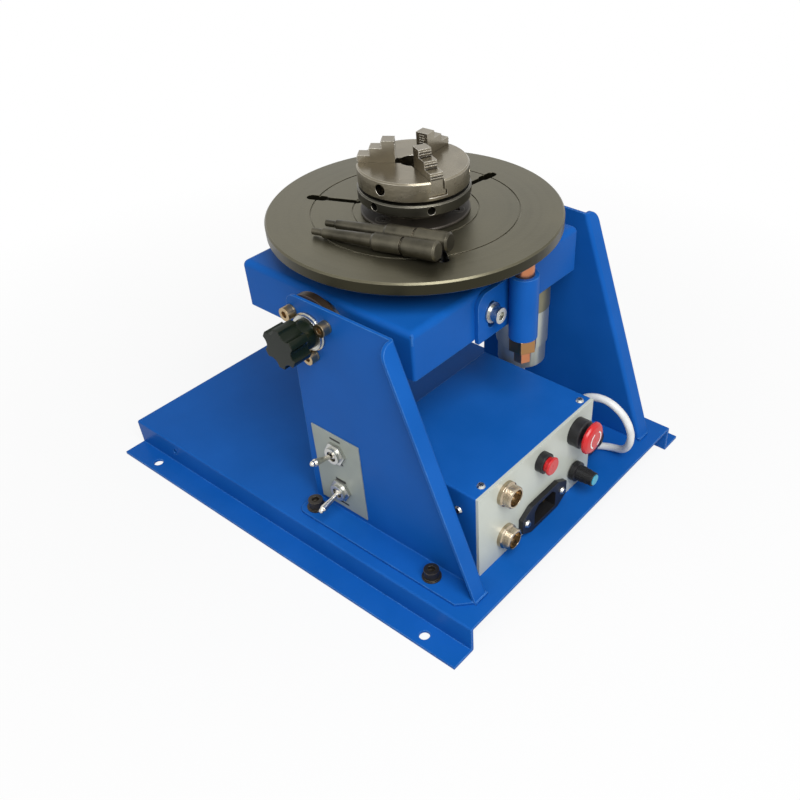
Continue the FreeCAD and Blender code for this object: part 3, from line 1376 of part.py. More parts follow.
CABLE_ROUTE = (
    (motor_x.value, motor_y.value, 67.5), (69.3, 58.3, 53.8), (76.0, 58.0, 42.0),
    (88.0, 57.6, 36.5), (101.0, 57.2, 39.5), (110.0, 57.0, 49.8), (116.5, 57.0, 62.5),
    (127.5, 57.2, 72.8), (142.0, 57.6, 75.0), (154.0, 59.0, 67.5), (160.5, 60.5, 55.0),
    (159.5, 63.5, 41.5), (153.2, 67.5, 29.5), (141.7, 70.3, 24.8), (129.2, 65.0, 24.0),
    (121.8, 52.6, 25.5))

# ---------------------------------------------------------------- every piece
make_base_plate()
make_upright("left_upright", -1, (d.upper_toggle, d.lower_toggle))
make_upright("right_upright", 1, ())
make_foot_screws()
make_pivot_rings()
make_switches()
make_toggle_lever("upper_toggle_lever", d.upper_toggle, d.toggle_throw.value)
make_toggle_lever("lower_toggle_lever", d.lower_toggle, -d.toggle_throw.value)
make_tray()
make_pivot_stubs()
make_clamp()
make_table()
make_spindle()
make_bearings()
make_gears()
make_motor()
make_chuck()
make_scroll_ring()
for number, offset_angle in enumerate(THIRDS, start=1):
    make_jaw("chuck_jaw_%d" % number, offset_angle)
make_tommy_bar("tommy_bar_1", 4.8, -62.1)
make_tommy_bar("tommy_bar_2", 3.6, -50.2)
make_brush()
make_box()
make_sockets()
make_button()
make_estop()
make_speed()
make_inlet()
make_electrics()
make_cable()

# ---------------------------------------------------------------- checks and files
doc.recompute()
for item in doc.Objects:
    if "Invalid" in item.State or "Error" in item.State:
        raise RuntimeError("%s (%s) did not build" % (item.Name, item.Label))
os.makedirs("parts", exist_ok=True)
for label, item in nodes.items():
    if item.Shape.isNull() or not item.Shape.isValid():
        raise RuntimeError("%s has no valid shape" % label)
    item.Shape.exportStep("parts/%s.step" % label)
    bounds = item.Shape.BoundBox
    print("%-20s %2d solids  x %.1f..%.1f  y %.1f..%.1f  z %.1f..%.1f" % (
        label, len(item.Shape.Solids), bounds.XMin, bounds.XMax, bounds.YMin, bounds.YMax,
        bounds.ZMin, bounds.ZMax))
print(len(nodes), "pieces")
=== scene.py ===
# %% [markdown]
# # A bench welding positioner
#
# A geared turntable turns on a tray that tilts between two sheet-steel uprights, with a small
# scroll chuck on top and a control box below. The construction file comes in as a fixed frame
# of named pieces, and this lesson dresses it: finishes, small repeated details, light and a
# camera. Places on the object are in millimetres of its own frame: +X towards the control
# panel, +Z up, and -Y towards the clamp knob and the switches. The camera, the lamps and the
# floor are given in metres.

import math

import bmesh
import bpy
from mathutils import Matrix, Vector, noise


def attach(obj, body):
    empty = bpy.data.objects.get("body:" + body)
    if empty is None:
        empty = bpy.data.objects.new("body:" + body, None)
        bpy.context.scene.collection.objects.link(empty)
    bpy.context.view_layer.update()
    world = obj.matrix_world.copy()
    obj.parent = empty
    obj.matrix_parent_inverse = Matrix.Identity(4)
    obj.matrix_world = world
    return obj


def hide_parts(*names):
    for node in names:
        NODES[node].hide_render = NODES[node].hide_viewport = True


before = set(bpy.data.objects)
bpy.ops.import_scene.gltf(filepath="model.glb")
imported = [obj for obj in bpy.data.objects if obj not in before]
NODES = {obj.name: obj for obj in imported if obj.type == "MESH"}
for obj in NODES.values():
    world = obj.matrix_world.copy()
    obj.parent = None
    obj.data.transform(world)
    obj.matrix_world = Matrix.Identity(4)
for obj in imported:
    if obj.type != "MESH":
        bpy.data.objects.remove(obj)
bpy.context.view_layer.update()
scene = bpy.context.scene
MM = 0.001
TABLE_AXIS = (0.028, 0.0)
print("pieces in the frame:", len(NODES))

# %% [markdown]
# ## Camera
# A camera is a place, a direction and a lens. `shift_x` and `shift_y` slide the view without
# turning the camera, which keeps the upright edges at the angle that they have from this place.

# %% Camera
eye = Vector((0.366625, -0.364907, 0.434819))
forward = Vector((-0.45053, 0.58601, -0.67350)).normalized()
right = forward.cross(Vector((0, 0, 1))).normalized()
upward = right.cross(forward)

lens = bpy.data.cameras.new("lens")
lens.lens = 39.01
lens.sensor_width = 36.0
lens.shift_x = -0.1153
lens.shift_y = 0.0958
lens.clip_start = 0.01
camera = bpy.data.objects.new("camera", lens)
camera.matrix_world = Matrix((
    (right.x, upward.x, -forward.x, eye.x),
    (right.y, upward.y, -forward.y, eye.y),
    (right.z, upward.z, -forward.z, eye.z),
    (0.0, 0.0, 0.0, 1.0)))
scene.collection.objects.link(camera)
scene.camera = camera
print("camera height above the bench, metres:", round(eye.z, 3))

# %% [markdown]
# ## The motor lead
# On the real machine a white lead leaves the bottom of the gear motor, loops beside the box and
# enters it through a grommet. The solid follows corners joined by arcs. A NURBS curve of order 3
# takes the same corners as its control points. With `use_endpoint_u` it starts and ends exactly
# on the first and the last, so the soft lead fits where the solid one was. The curve is turned
# into a mesh tube in the end, because such a lead is never quite round: its jacket is a little
# crumpled.

# %% Motor lead
LEAD_RADIUS = 2.7
LEAD_CRUMPLE = 0.12
CRUMPLES_PER_METRE = 160.0
LEAD_ROUTE = (
    (67.423, 58.447, 80.75), (67.423, 58.447, 67.5), (69.3, 58.3, 53.8), (76.0, 58.0, 42.0),
    (88.0, 57.6, 36.5), (101.0, 57.2, 39.5), (110.0, 57.0, 49.8), (116.5, 57.0, 62.5),
    (127.5, 57.2, 72.8), (142.0, 57.6, 75.0), (154.0, 59.0, 67.5), (160.5, 60.5, 55.0),
    (159.5, 63.5, 41.5), (153.2, 67.5, 29.5), (141.7, 70.3, 24.8), (129.2, 65.0, 24.0),
    (121.8, 52.6, 25.5), (120.5, 37.5, 27.8))


def mesh_of(item):
    """The evaluated shape of an object as a mesh of its own."""
    bpy.context.view_layer.update()
    graph = bpy.context.evaluated_depsgraph_get()
    return bpy.data.meshes.new_from_object(item.evaluated_get(graph))


curve = bpy.data.curves.new("lead_line", "CURVE")
curve.dimensions = "3D"
curve.resolution_u = 16
spline = curve.splines.new("NURBS")
spline.points.add(len(LEAD_ROUTE) - 1)
for point, corner in zip(spline.points, LEAD_ROUTE):
    point.co = (*(Vector(corner) * MM), 1.0)
spline.order_u = 3
spline.use_endpoint_u = True
line = bpy.data.objects.new("lead_line", curve)
scene.collection.objects.link(line)
lead_path = [vertex.co.copy() for vertex in mesh_of(line).vertices]
curve.bevel_depth = LEAD_RADIUS * MM
curve.bevel_resolution = 6
curve.use_fill_caps = True
lead_mesh = mesh_of(line)
bpy.data.objects.remove(line)
for vertex in lead_mesh.vertices:
    vertex.co += noise.noise_vector(vertex.co * CRUMPLES_PER_METRE) * LEAD_CRUMPLE * MM
lead = bpy.data.objects.new("lead", lead_mesh)
scene.collection.objects.link(lead)
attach(lead, "base")
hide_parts("motor_cable")

# %% [markdown]
# ## Shared effects
# An effect that several finishes share is a node group with named inputs and outputs. It is
# built once and placed in each material with its own numbers. All of them read `Object`
# coordinates, which are metres of the frame here, so one pattern runs over neighbouring pieces
# without a seam. The first group drifts slowly in tone and has a fine grain on top.

# %% Effect: uneven tone and grain


def new_effect(name, inputs, outputs):
    """An empty shader group with number sockets."""
    group = bpy.data.node_groups.new(name, "ShaderNodeTree")
    for label, value in inputs.items():
        socket = group.interface.new_socket(label, in_out="INPUT", socket_type="NodeSocketFloat")
        socket.default_value = value
    for label in outputs:
        kind = "NodeSocketVector" if label == "Normal" else "NodeSocketFloat"
        group.interface.new_socket(label, in_out="OUTPUT", socket_type=kind)
    return group, group.nodes.new("NodeGroupInput"), group.nodes.new("NodeGroupOutput")


def put(tree, socket, value):
    """Link a socket into another one, or write a plain value in it."""
    if isinstance(value, bpy.types.NodeSocket):
        tree.links.new(value, socket)
    else:
        socket.default_value = value


def calculate(tree, operation, first, second=0.0):
    """One Math node on sockets or plain numbers."""
    node = tree.nodes.new("ShaderNodeMath")
    node.operation = operation
    for socket, value in zip(node.inputs, (first, second)):
        put(tree, socket, value)
    return node.outputs[0]


def noise_field(tree, place, scale, detail):
    """A noise between 0 and 1 at a place; the scale may be a socket."""
    node = tree.nodes.new("ShaderNodeTexNoise")
    node.inputs["Detail"].default_value = detail
    put(tree, node.inputs["Scale"], scale)
    tree.links.new(place, node.inputs["Vector"])
    return node.outputs["Fac"]


def stretch(tree, value, low, high, to_low=0.0, to_high=1.0):
    """Map a value from one range to another, held at the ends."""
    node = tree.nodes.new("ShaderNodeMapRange")
    numbers = {"From Min": low, "From Max": high, "To Min": to_low, "To Max": to_high}
    for label, number in numbers.items():
        node.inputs[label].default_value = number
    tree.links.new(value, node.inputs["Value"])
    return node.outputs["Result"]


def make_uneven_tone():
    """Slow patches of tone and a fine grain, both between 0 and 1."""
    group, given, result = new_effect(
        "uneven tone", {"Patches": 28.0, "Grain": 650.0}, ("Tone", "Grain"))
    place = group.nodes.new("ShaderNodeTexCoord").outputs["Object"]
    tone = noise_field(group, place, given.outputs["Patches"], 6.0)
    grain = noise_field(group, place, given.outputs["Grain"], 3.0)
    group.links.new(stretch(group, tone, 0.3, 0.7), result.inputs["Tone"])
    group.links.new(grain, result.inputs["Grain"])
    return group


UNEVEN_TONE = make_uneven_tone()
print("effect:", UNEVEN_TONE.name)

# %% [markdown]
# ## Worn edges and painted highlights
# Handling and powder coating leave edges softer and lighter than faces, and the lighter edge
# colour is also a painted highlight. The Bevel node rounds the normal near an edge without
# touching the mesh. Where the rounded normal leaves the true one there is an edge, so the same
# node also gives the mask for the wear and the painted highlight.

# %% Effect: worn edges and painted highlights


def make_worn_and_highlit_edge():
    """A patchy mask along the edges, and the normal that rounds them."""
    group, given, result = new_effect(
        "worn edge and painted highlight", {"Width": 0.0004, "Wear": 1.0}, ("Edge", "Normal"))
    rounded = group.nodes.new("ShaderNodeBevel")
    rounded.samples = 4
    group.links.new(given.outputs["Width"], rounded.inputs["Radius"])
    true_normal = group.nodes.new("ShaderNodeNewGeometry").outputs["True Normal"]
    compare = group.nodes.new("ShaderNodeVectorMath")
    compare.operation = "DOT_PRODUCT"
    group.links.new(rounded.outputs["Normal"], compare.inputs[0])
    group.links.new(true_normal, compare.inputs[1])
    place = group.nodes.new("ShaderNodeTexCoord").outputs["Object"]
    patchy = stretch(group, noise_field(group, place, 90.0, 5.0), 0.35, 0.65, 0.35, 1.0)
    turned_away = stretch(group, compare.outputs["Value"], 0.995, 0.86)
    # The edge mask carries wear and a painted highlight alike.
    edge = calculate(group, "MULTIPLY", turned_away, patchy)
    group.links.new(calculate(group, "MULTIPLY", edge, given.outputs["Wear"]),
                    result.inputs["Edge"])
    group.links.new(rounded.outputs["Normal"], result.inputs["Normal"])
    return group


WORN_AND_HIGHLIT_EDGE = make_worn_and_highlit_edge()
print("effect:", WORN_AND_HIGHLIT_EDGE.name)

# %% [markdown]
# ## Turning marks
# A lathe tool leaves fine rings round the axis of a disc. The distance from the axis plus the
# height makes a wave that runs round every face of a turned piece, flat or round. The wave is
# bent by a little noise, as a real feed is never even.

# %% Effect: turning marks


def make_turning_marks():
    """Fine rings and broad bands round one upright axis."""
    group, given, result = new_effect(
        "turning marks", {"Centre X": TABLE_AXIS[0], "Centre Y": TABLE_AXIS[1], "Rings": 2600.0},
        ("Rings", "Band"))
    place = group.nodes.new("ShaderNodeTexCoord").outputs["Object"]
    split = group.nodes.new("ShaderNodeSeparateXYZ")
    group.links.new(place, split.inputs["Vector"])
    across = calculate(group, "SUBTRACT", split.outputs["X"], given.outputs["Centre X"])
    along = calculate(group, "SUBTRACT", split.outputs["Y"], given.outputs["Centre Y"])
    square = calculate(group, "ADD", calculate(group, "POWER", across, 2.0),
                       calculate(group, "POWER", along, 2.0))
    feed = calculate(group, "ADD", calculate(group, "SQRT", square), split.outputs["Z"])
    line = group.nodes.new("ShaderNodeCombineXYZ")
    group.links.new(feed, line.inputs["X"])
    fine = noise_field(group, line.outputs["Vector"], given.outputs["Rings"], 2.0)
    coarse = noise_field(group, line.outputs["Vector"], 260.0, 2.0)
    group.links.new(fine, result.inputs["Rings"])
    group.links.new(stretch(group, coarse, 0.3, 0.7), result.inputs["Band"])
    return group


TURNING_MARKS = make_turning_marks()
print("effect:", TURNING_MARKS.name)

# %% [markdown]
# ## Finishes
# Each finish is a Principled shader. Numbers that are the same all over are set on the shader
# itself. Colour moves between two tones, roughness moves with it, and the bump comes from the
# grain, the turning marks or both. Edges take a third colour where the finish wears, and the same
# colour is a painted highlight along them. Leaning faces may take a darker colour as painted
# shade.

# %% One recipe for a finish


# Share of the second tone in the broad bands, and of the grain in the relief of turned faces.
BAND_SHARE = 0.45
GRAIN_SHARE = 0.5
# How far a face may lean before it takes the painted shade of a side, as the upright part of its
# normal.
SHADED_SIDE_FROM, SHADED_SIDE_TO = 0.8, 0.3
RELIEF_DEPTH = 0.2 * MM


def use_effect(tree, effect, **numbers):
    """An effect in a material, with its own numbers."""
    node = tree.nodes.new("ShaderNodeGroup")
    node.node_tree = effect
    for label, number in numbers.items():
        node.inputs[label.replace("_", " ")].default_value = number
    return node.outputs


def mix_colour(tree, factor, first, second):
    """One colour mixed into another; each is a socket or three numbers."""
    node = tree.nodes.new("ShaderNodeMix")
    node.data_type = "RGBA"
    tree.links.new(factor, node.inputs["Factor"])
    for socket, colour in ((node.inputs[6], first), (node.inputs[7], second)):
        put(tree, socket, (*colour, 1.0) if isinstance(colour, tuple) else colour)
    return node.outputs[2]


def finish(name, colour, second, rough, metal=0.0, spread=0.08, patches=28.0, grain=650.0,
           bumps=0.12, edge=None, edge_width=0.35, wear_and_highlight=0.6, turned=None, ring_height=0.35,
           shaded_side=None, **fixed):
    """A painted, moulded or machined surface with its own tone, grain and edges."""
    item = bpy.data.materials.new(name)
    item.use_nodes = True
    tree = item.node_tree
    shader = tree.nodes["Principled BSDF"]
    shader.inputs["Metallic"].default_value = metal
    for label, number in fixed.items():
        shader.inputs[label.replace("_", " ")].default_value = number
    uneven = use_effect(tree, UNEVEN_TONE, Patches=patches, Grain=grain)
    edges = use_effect(tree, WORN_AND_HIGHLIT_EDGE, Width=edge_width * MM, Wear=wear_and_highlight)
    body_colour = mix_colour(tree, uneven["Tone"], colour, second)
    roughness = stretch(tree, uneven["Tone"], 0.0, 1.0, rough - spread / 2, rough + spread / 2)
    height = uneven["Grain"]
    if turned:
        marks = use_effect(tree, TURNING_MARKS, Centre_X=turned[0], Centre_Y=turned[1],
                           Rings=turned[2])
        shaded = stretch(tree, marks["Band"], 0.0, 1.0, 0.0, BAND_SHARE)
        body_colour = mix_colour(tree, shaded, body_colour, second)
        height = calculate(tree, "ADD", calculate(tree, "MULTIPLY", marks["Rings"], ring_height),
                           calculate(tree, "MULTIPLY", height, GRAIN_SHARE))
    # The side colour on leaning faces is painted shade.
    if shaded_side:
        facing = tree.nodes.new("ShaderNodeSeparateXYZ")
        tree.links.new(tree.nodes.new("ShaderNodeNewGeometry").outputs["True Normal"],
                       facing.inputs["Vector"])
        upright = calculate(tree, "ABSOLUTE", facing.outputs["Z"])
        body_colour = mix_colour(tree, stretch(tree, upright, SHADED_SIDE_TO, SHADED_SIDE_FROM), shaded_side,
                                 body_colour)
    # The edge colour is partly wear and partly a painted highlight.
    if edge:
        body_colour = mix_colour(tree, edges["Edge"], body_colour, edge)
    tree.links.new(body_colour, shader.inputs["Base Color"])
    tree.links.new(roughness, shader.inputs["Roughness"])
    relief = tree.nodes.new("ShaderNodeBump")
    relief.inputs["Strength"].default_value = bumps
    relief.inputs["Distance"].default_value = RELIEF_DEPTH
    tree.links.new(height, relief.inputs["Height"])
    tree.links.new(edges["Normal"], relief.inputs["Normal"])
    tree.links.new(relief.outputs["Normal"], shader.inputs["Normal"])
    return item


# %% [markdown]
# ### Paint and plastic
# The sheet is powder coated: a deep blue, half glossy, with a fine orange peel and a paler line
# on the edges, where the coat is thin and where a painted highlight stands. Moulded plastic is
# smoother, and its corners stay sharp.

# %% Paint and plastic
# The pale edge colour of the blue coat is partly thin coat and partly a painted highlight.
blue_paint = finish("blue powder coat", (0.005, 0.090, 0.370), (0.008, 0.102, 0.410), 0.38,
                    grain=900.0, bumps=0.16, edge=(0.09, 0.27, 0.62), wear_and_highlight=1.0,
                    edge_width=0.8, Specular_IOR_Level=0.07)
panel_paint = finish("pale panel paint", (0.500, 0.530, 0.470), (0.560, 0.590, 0.525), 0.34,
                     edge=(0.80, 0.82, 0.76), edge_width=0.3, bumps=0.08)
plate_paint = finish("switch plate", (0.24, 0.27, 0.24), (0.32, 0.35, 0.31), 0.40,
                     edge=(0.55, 0.57, 0.52), edge_width=0.25)
# Black plastic also serves as painted shade in the screws' cross recesses.
black_plastic_and_shade = finish("black plastic", (0.010, 0.010, 0.011), (0.018, 0.018, 0.019), 0.34,
                       grain=1100.0, bumps=0.2, edge=(0.05, 0.05, 0.052), edge_width=0.3,
                       Specular_IOR_Level=0.3)
black_gloss = finish("glossy black plastic", (0.005, 0.009, 0.005), (0.008, 0.013, 0.007), 0.22,
                     bumps=0.04, edge_width=0.8, edge=(0.05, 0.045, 0.035),
                     Specular_IOR_Level=0.16)
red_plastic = finish("red plastic", (0.48, 0.008, 0.010), (0.56, 0.012, 0.014), 0.27,
                     bumps=0.05, edge=(0.62, 0.05, 0.05), edge_width=0.5)
cyan_plastic = finish("cyan plastic", (0.010, 0.30, 0.46), (0.014, 0.34, 0.50), 0.30, bumps=0.05)
white_plastic = finish("white print", (0.80, 0.80, 0.78), (0.86, 0.86, 0.84), 0.42, bumps=0.05)
lead_rubber = finish("white lead", (0.66, 0.67, 0.66), (0.76, 0.77, 0.76), 0.44, patches=120.0,
                     grain=260.0, bumps=0.8, edge_width=0.01)
print("paint and plastic ready")

# %% [markdown]
# ### Bare and plated metal
# Turned faces show rings round their own axis. Blackened steel is nearly a paint, and it shines
# through on the edges, where the lighter edge colour of every metal is also a painted highlight.
# The leaning faces of the table take a darker colour, which is painted shade. Brass, bronze and
# copper are metals whose colour does all the work.

# %% Bare and plated metal
# The side colour darkens the leaning faces of the table as painted shade.
table_steel = finish("browned table steel", (0.098, 0.091, 0.060), (0.150, 0.138, 0.094), 0.34,
                     metal=0.9, spread=0.14, patches=18.0, bumps=0.5,
                     turned=(*TABLE_AXIS, 2400.0), shaded_side=(0.034, 0.031, 0.018),
                     edge=(0.32, 0.29, 0.21), wear_and_highlight=0.9)
chuck_steel = finish("turned chuck steel", (0.17, 0.150, 0.112), (0.32, 0.285, 0.215), 0.26,
                     metal=1.0, spread=0.12, bumps=0.45, turned=(*TABLE_AXIS, 3000.0),
                     edge=(0.72, 0.69, 0.62), wear_and_highlight=1.0, edge_width=0.5)
jaw_steel = finish("ground jaw steel", (0.22, 0.195, 0.150), (0.38, 0.345, 0.275), 0.26, metal=1.0,
                   grain=1500.0, bumps=0.2, edge=(0.80, 0.77, 0.70), wear_and_highlight=1.0, edge_width=0.45)
ring_steel = finish("dark scroll ring", (0.045, 0.043, 0.033), (0.090, 0.085, 0.066), 0.34,
                    metal=0.95, spread=0.14, bumps=0.2, turned=(*TABLE_AXIS, 2600.0),
                    edge=(0.55, 0.51, 0.44), wear_and_highlight=1.0, edge_width=0.5)
# This dark steel also serves as painted shade in the jaw grooves and under the scroll ring.
blackened_steel_and_shade = finish("blackened steel and painted shade", (0.022, 0.019, 0.016), (0.045, 0.038, 0.030), 0.40,
                     metal=0.6, spread=0.16, bumps=0.2, edge=(0.22, 0.19, 0.15), wear_and_highlight=0.8)
bar_steel = finish("oiled dark bar", (0.040, 0.036, 0.025), (0.105, 0.095, 0.068), 0.38,
                   metal=0.8, spread=0.2, patches=90.0, bumps=0.25, edge=(0.30, 0.25, 0.19))
plain_steel = finish("machined steel", (0.40, 0.38, 0.34), (0.50, 0.48, 0.44), 0.30, metal=1.0,
                     edge=(0.75, 0.73, 0.68))
gear_steel = finish("gear steel", (0.30, 0.28, 0.24), (0.42, 0.40, 0.35), 0.34, metal=1.0,
                    turned=(*TABLE_AXIS, 1800.0), edge=(0.66, 0.63, 0.56))
nickel = finish("nickel plate", (0.58, 0.55, 0.48), (0.66, 0.63, 0.56), 0.20, metal=1.0,
                spread=0.06, bumps=0.06, edge=(0.85, 0.83, 0.78))
socket_nickel = finish("warm nickel", (0.34, 0.26, 0.17), (0.56, 0.48, 0.36), 0.18, metal=1.0,
                       patches=170.0, bumps=0.06, edge=(0.80, 0.76, 0.66))
zinc = finish("zinc plate", (0.50, 0.50, 0.47), (0.62, 0.62, 0.58), 0.28, metal=1.0,
              edge=(0.82, 0.82, 0.78))
ring_screw = finish("yellow zinc", (0.40, 0.29, 0.16), (0.50, 0.38, 0.22), 0.32, metal=1.0,
                    edge=(0.70, 0.58, 0.38))
pivot_steel = finish("browned pivot ring", (0.070, 0.048, 0.034), (0.120, 0.085, 0.060), 0.40,
                     metal=0.8, edge=(0.30, 0.23, 0.17))
motor_shell = finish("satin motor shell", (0.44, 0.46, 0.40), (0.54, 0.56, 0.50), 0.32,
                     metal=0.75, spread=0.06, bumps=0.08, edge=(0.75, 0.76, 0.70))
gearbox_shell = finish("olive gearbox", (0.20, 0.19, 0.12), (0.28, 0.26, 0.17), 0.38, metal=0.7,
                       bumps=0.2, edge=(0.42, 0.40, 0.30))
copper = finish("copper brush", (0.60, 0.25, 0.13), (0.50, 0.19, 0.09), 0.30, metal=1.0,
                edge=(0.80, 0.45, 0.28))
bronze = finish("bronze nut", (0.30, 0.16, 0.07), (0.48, 0.26, 0.11), 0.30, metal=1.0,
                edge=(0.78, 0.50, 0.28), edge_width=0.5)
brass = finish("brass", (0.68, 0.45, 0.18), (0.76, 0.53, 0.25), 0.25, metal=1.0)
circuit_green = finish("circuit board", (0.010, 0.11, 0.05), (0.014, 0.15, 0.06), 0.38)
print("finishes:", len(bpy.data.materials))

# %% [markdown]
# ### Which piece has which finish
# One table says it all, so a change of finish is a change of one line.

# %% Dress the pieces
FINISHES = (
    (blue_paint, "base_plate left_upright right_upright tilt_tray motor_bracket brush_holder "
                 "control_cover"),
    (panel_paint, "control_chassis"), (plate_paint, "switch_plate"),
    (table_steel, "turntable"), (chuck_steel, "chuck_body"),
    (jaw_steel, "chuck_jaw_1 chuck_jaw_2 chuck_jaw_3"), (ring_steel, "scroll_ring"),
    (bar_steel, "tommy_bar_1 tommy_bar_2"),
    # The chuck backplate is dark partly as blackened steel and partly as painted shade under the
    # scroll ring.
    (blackened_steel_and_shade, "foot_screws backplate_screws chuck_backplate"),
    (gear_steel, "spindle_gear motor_pinion"),
    (plain_steel, "pivot_stubs spindle bearing_housing spindle_nut brush_spring"),
    (socket_nickel, "pedal_sockets"),
    (nickel, "upper_toggle_lever lower_toggle_lever speed_pot spindle_bearings"),
    (zinc, "toggle_switches clamp_washers right_pivot_bolt housing_screws motor_screws "
           "brush_bolt box_screws power_supply"),
    (ring_screw, "pivot_ring_screws"), (pivot_steel, "pivot_rings"),
    (motor_shell, "motor_can"), (gearbox_shell, "gearbox"),
    (black_gloss, "clamp_knob"),
    (black_plastic_and_shade, "lead_sleeve estop_collar estop_stem speed_knob power_inlet cable_gland "
                    "button_bezel"),
    (red_plastic, "button_cap estop_head"), (copper, "copper_brush brush_end_plug"),
    (bronze, "brush_lock_nut"), (brass, "inlet_pins"), (circuit_green, "control_board"))
for surface, names in FINISHES:
    for name in names.split():
        for slot in NODES[name].material_slots:
            slot.material = surface
lead_mesh.materials.append(lead_rubber)
print("dressed pieces:", sum(len(names.split()) for surface, names in FINISHES))

# %% [markdown]
# ## Repeated details
# Thread turns, ribs and marks are one shape many times over, which is what Geometry Nodes are
# for. Each tree has named inputs for its sizes. The evaluated result becomes a plain mesh, which
# is moved into its place, so the finished object itself stays at the origin.

# %% Tools for trees


def new_tree(name, inputs):
    """An empty geometry tree with number inputs and a material input."""
    tree = bpy.data.node_groups.new(name, "GeometryNodeTree")
    tree.interface.new_socket("Geometry", in_out="OUTPUT", socket_type="NodeSocketGeometry")
    for label, value in inputs.items():
        kind = "NodeSocketInt" if isinstance(value, int) else "NodeSocketFloat"
        socket = tree.interface.new_socket(label, in_out="INPUT", socket_type=kind)
        socket.default_value = value
    tree.interface.new_socket("Material", in_out="INPUT", socket_type="NodeSocketMaterial")
    return tree, tree.nodes.new("NodeGroupInput").outputs


def join_sockets(tree, node_type, **links):
    """A node whose inputs take sockets or plain values."""
    node = tree.nodes.new(node_type)
    for label, value in links.items():
        put(tree, node.inputs[label.replace("_", " ")], value)
    return node


def row_of_points(tree, given):
    """Count points above each other, Spacing apart."""
    step = join_sockets(tree, "ShaderNodeCombineXYZ", Z=given["Spacing"])
    return join_sockets(tree, "GeometryNodeMeshLine", Count=given["Count"],
                        Offset=step.outputs[0]).outputs[0]


def end_tree(tree, given, points, shape, rotation=None):
    """Shape on every point, made real, with its material."""
    copies = join_sockets(tree, "GeometryNodeInstanceOnPoints", Points=points, Instance=shape)
    if rotation:
        tree.links.new(rotation, copies.inputs["Rotation"])
    real = join_sockets(tree, "GeometryNodeRealizeInstances", Geometry=copies.outputs[0])
    painted = join_sockets(tree, "GeometryNodeSetMaterial", Geometry=real.outputs[0],
                           Material=given["Material"])
    output = tree.nodes.new("NodeGroupOutput")
    tree.links.new(painted.outputs[0], output.inputs["Geometry"])
    return tree


def grow(tree, name, place, body, **values):
    """Run a tree with its own sizes, move the result to its place and let it ride a body."""
    carrier = bpy.data.objects.new(name + "_carrier", bpy.data.meshes.new(name))
    scene.collection.objects.link(carrier)
    modifier = carrier.modifiers.new("tree", "NODES")
    modifier.node_group = tree
    for item in tree.interface.items_tree:
        if item.in_out == "INPUT" and item.name in values:
            modifier[item.identifier] = values[item.name]
    graph = bpy.context.evaluated_depsgraph_get()
    mesh = bpy.data.meshes.new_from_object(carrier.evaluated_get(graph))
    bpy.data.objects.remove(carrier)
    mesh.transform(place)
    detail = bpy.data.objects.new(name, mesh)
    scene.collection.objects.link(detail)
    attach(detail, body)


def at(x, y, z, axis="Z"):
    """A place in millimetres whose local Z points along a frame axis."""
    turns = {"Z": Matrix(), "X": Matrix.Rotation(math.radians(90), 4, "Y"),
             "Y": Matrix.Rotation(math.radians(-90), 4, "X"),
             "-Y": Matrix.Rotation(math.radians(90), 4, "X")}
    return Matrix.Translation(Vector((x, y, z)) * MM) @ turns[axis]


def corners_of(places):
    """Low and high corner round some places in metres, in millimetres."""
    low = Vector([min(place[axis] for place in places) for axis in range(3)]) / MM
    high = Vector([max(place[axis] for place in places) for axis in range(3)]) / MM
    return low, high


def span(name):
    """Low and high corner of one piece, in millimetres."""
    return corners_of([vertex.co for vertex in NODES[name].data.vertices])


def middle(name):
    """The middle of one piece's span, in millimetres."""
    low, high = span(name)
    return [(start + end) / 2 for start, end in zip(low, high)]


print("table top, mm:", round(span("turntable")[1].z, 1))

# %% [markdown]
# ### Thread turns and gland ribs
# The pedal sockets have a threaded barrel, and the gland's cap has a few ribs for the fingers. A
# thread seen from a step away reads as rings in a row, which is lighter than a true helix.

# %% Rings in a row


def make_rings_in_a_row():
    """Wire rings above each other."""
    tree, given = new_tree("rings in a row", {"Count": 6, "Spacing": 0.001, "Radius": 0.007,
                                              "Wire": 0.0002})
    circle = join_sockets(tree, "GeometryNodeCurvePrimitiveCircle", Resolution=48,
                          Radius=given["Radius"])
    wire = join_sockets(tree, "GeometryNodeCurvePrimitiveCircle", Resolution=6,
                        Radius=given["Wire"])
    ring = join_sockets(tree, "GeometryNodeCurveToMesh", Curve=circle.outputs[0],
                        Profile_Curve=wire.outputs[0])
    return end_tree(tree, given, row_of_points(tree, given), ring.outputs[0])


RINGS = make_rings_in_a_row()
SOCKET_NUT_RADIUS = 8.4
THREAD_START = 144.4
GLAND_RADIUS = 9.0
GLAND_RIBS_START = 45.0
socket_low, socket_high = span("pedal_sockets")
socket_y = middle("pedal_sockets")[1]
for label, height in (("upper", socket_high.z - SOCKET_NUT_RADIUS),
                      ("lower", socket_low.z + SOCKET_NUT_RADIUS)):
    grow(RINGS, f"{label}_socket_thread", at(THREAD_START, socket_y, height, "X"), "base",
         Count=6, Spacing=0.72 * MM, Radius=7.15 * MM, Wire=0.26 * MM, Material=socket_nickel)
gland_high = span("cable_gland")[1]
gland_place = at(gland_high.x - GLAND_RADIUS, GLAND_RIBS_START, gland_high.z - GLAND_RADIUS, "Y")
grow(RINGS, "gland_ribs", gland_place, "base", Count=4, Spacing=3.6 * MM, Radius=8.9 * MM,
     Wire=0.45 * MM, Material=black_plastic_and_shade)
print("thread turns and gland ribs made")

# %% [markdown]
# ### Ribs round the speed knob
# Fingers need something to hold, so the knob's cone has ribs. One rib stands on each point of a
# circle, turned to face outwards.

# %% Ribs round a drum


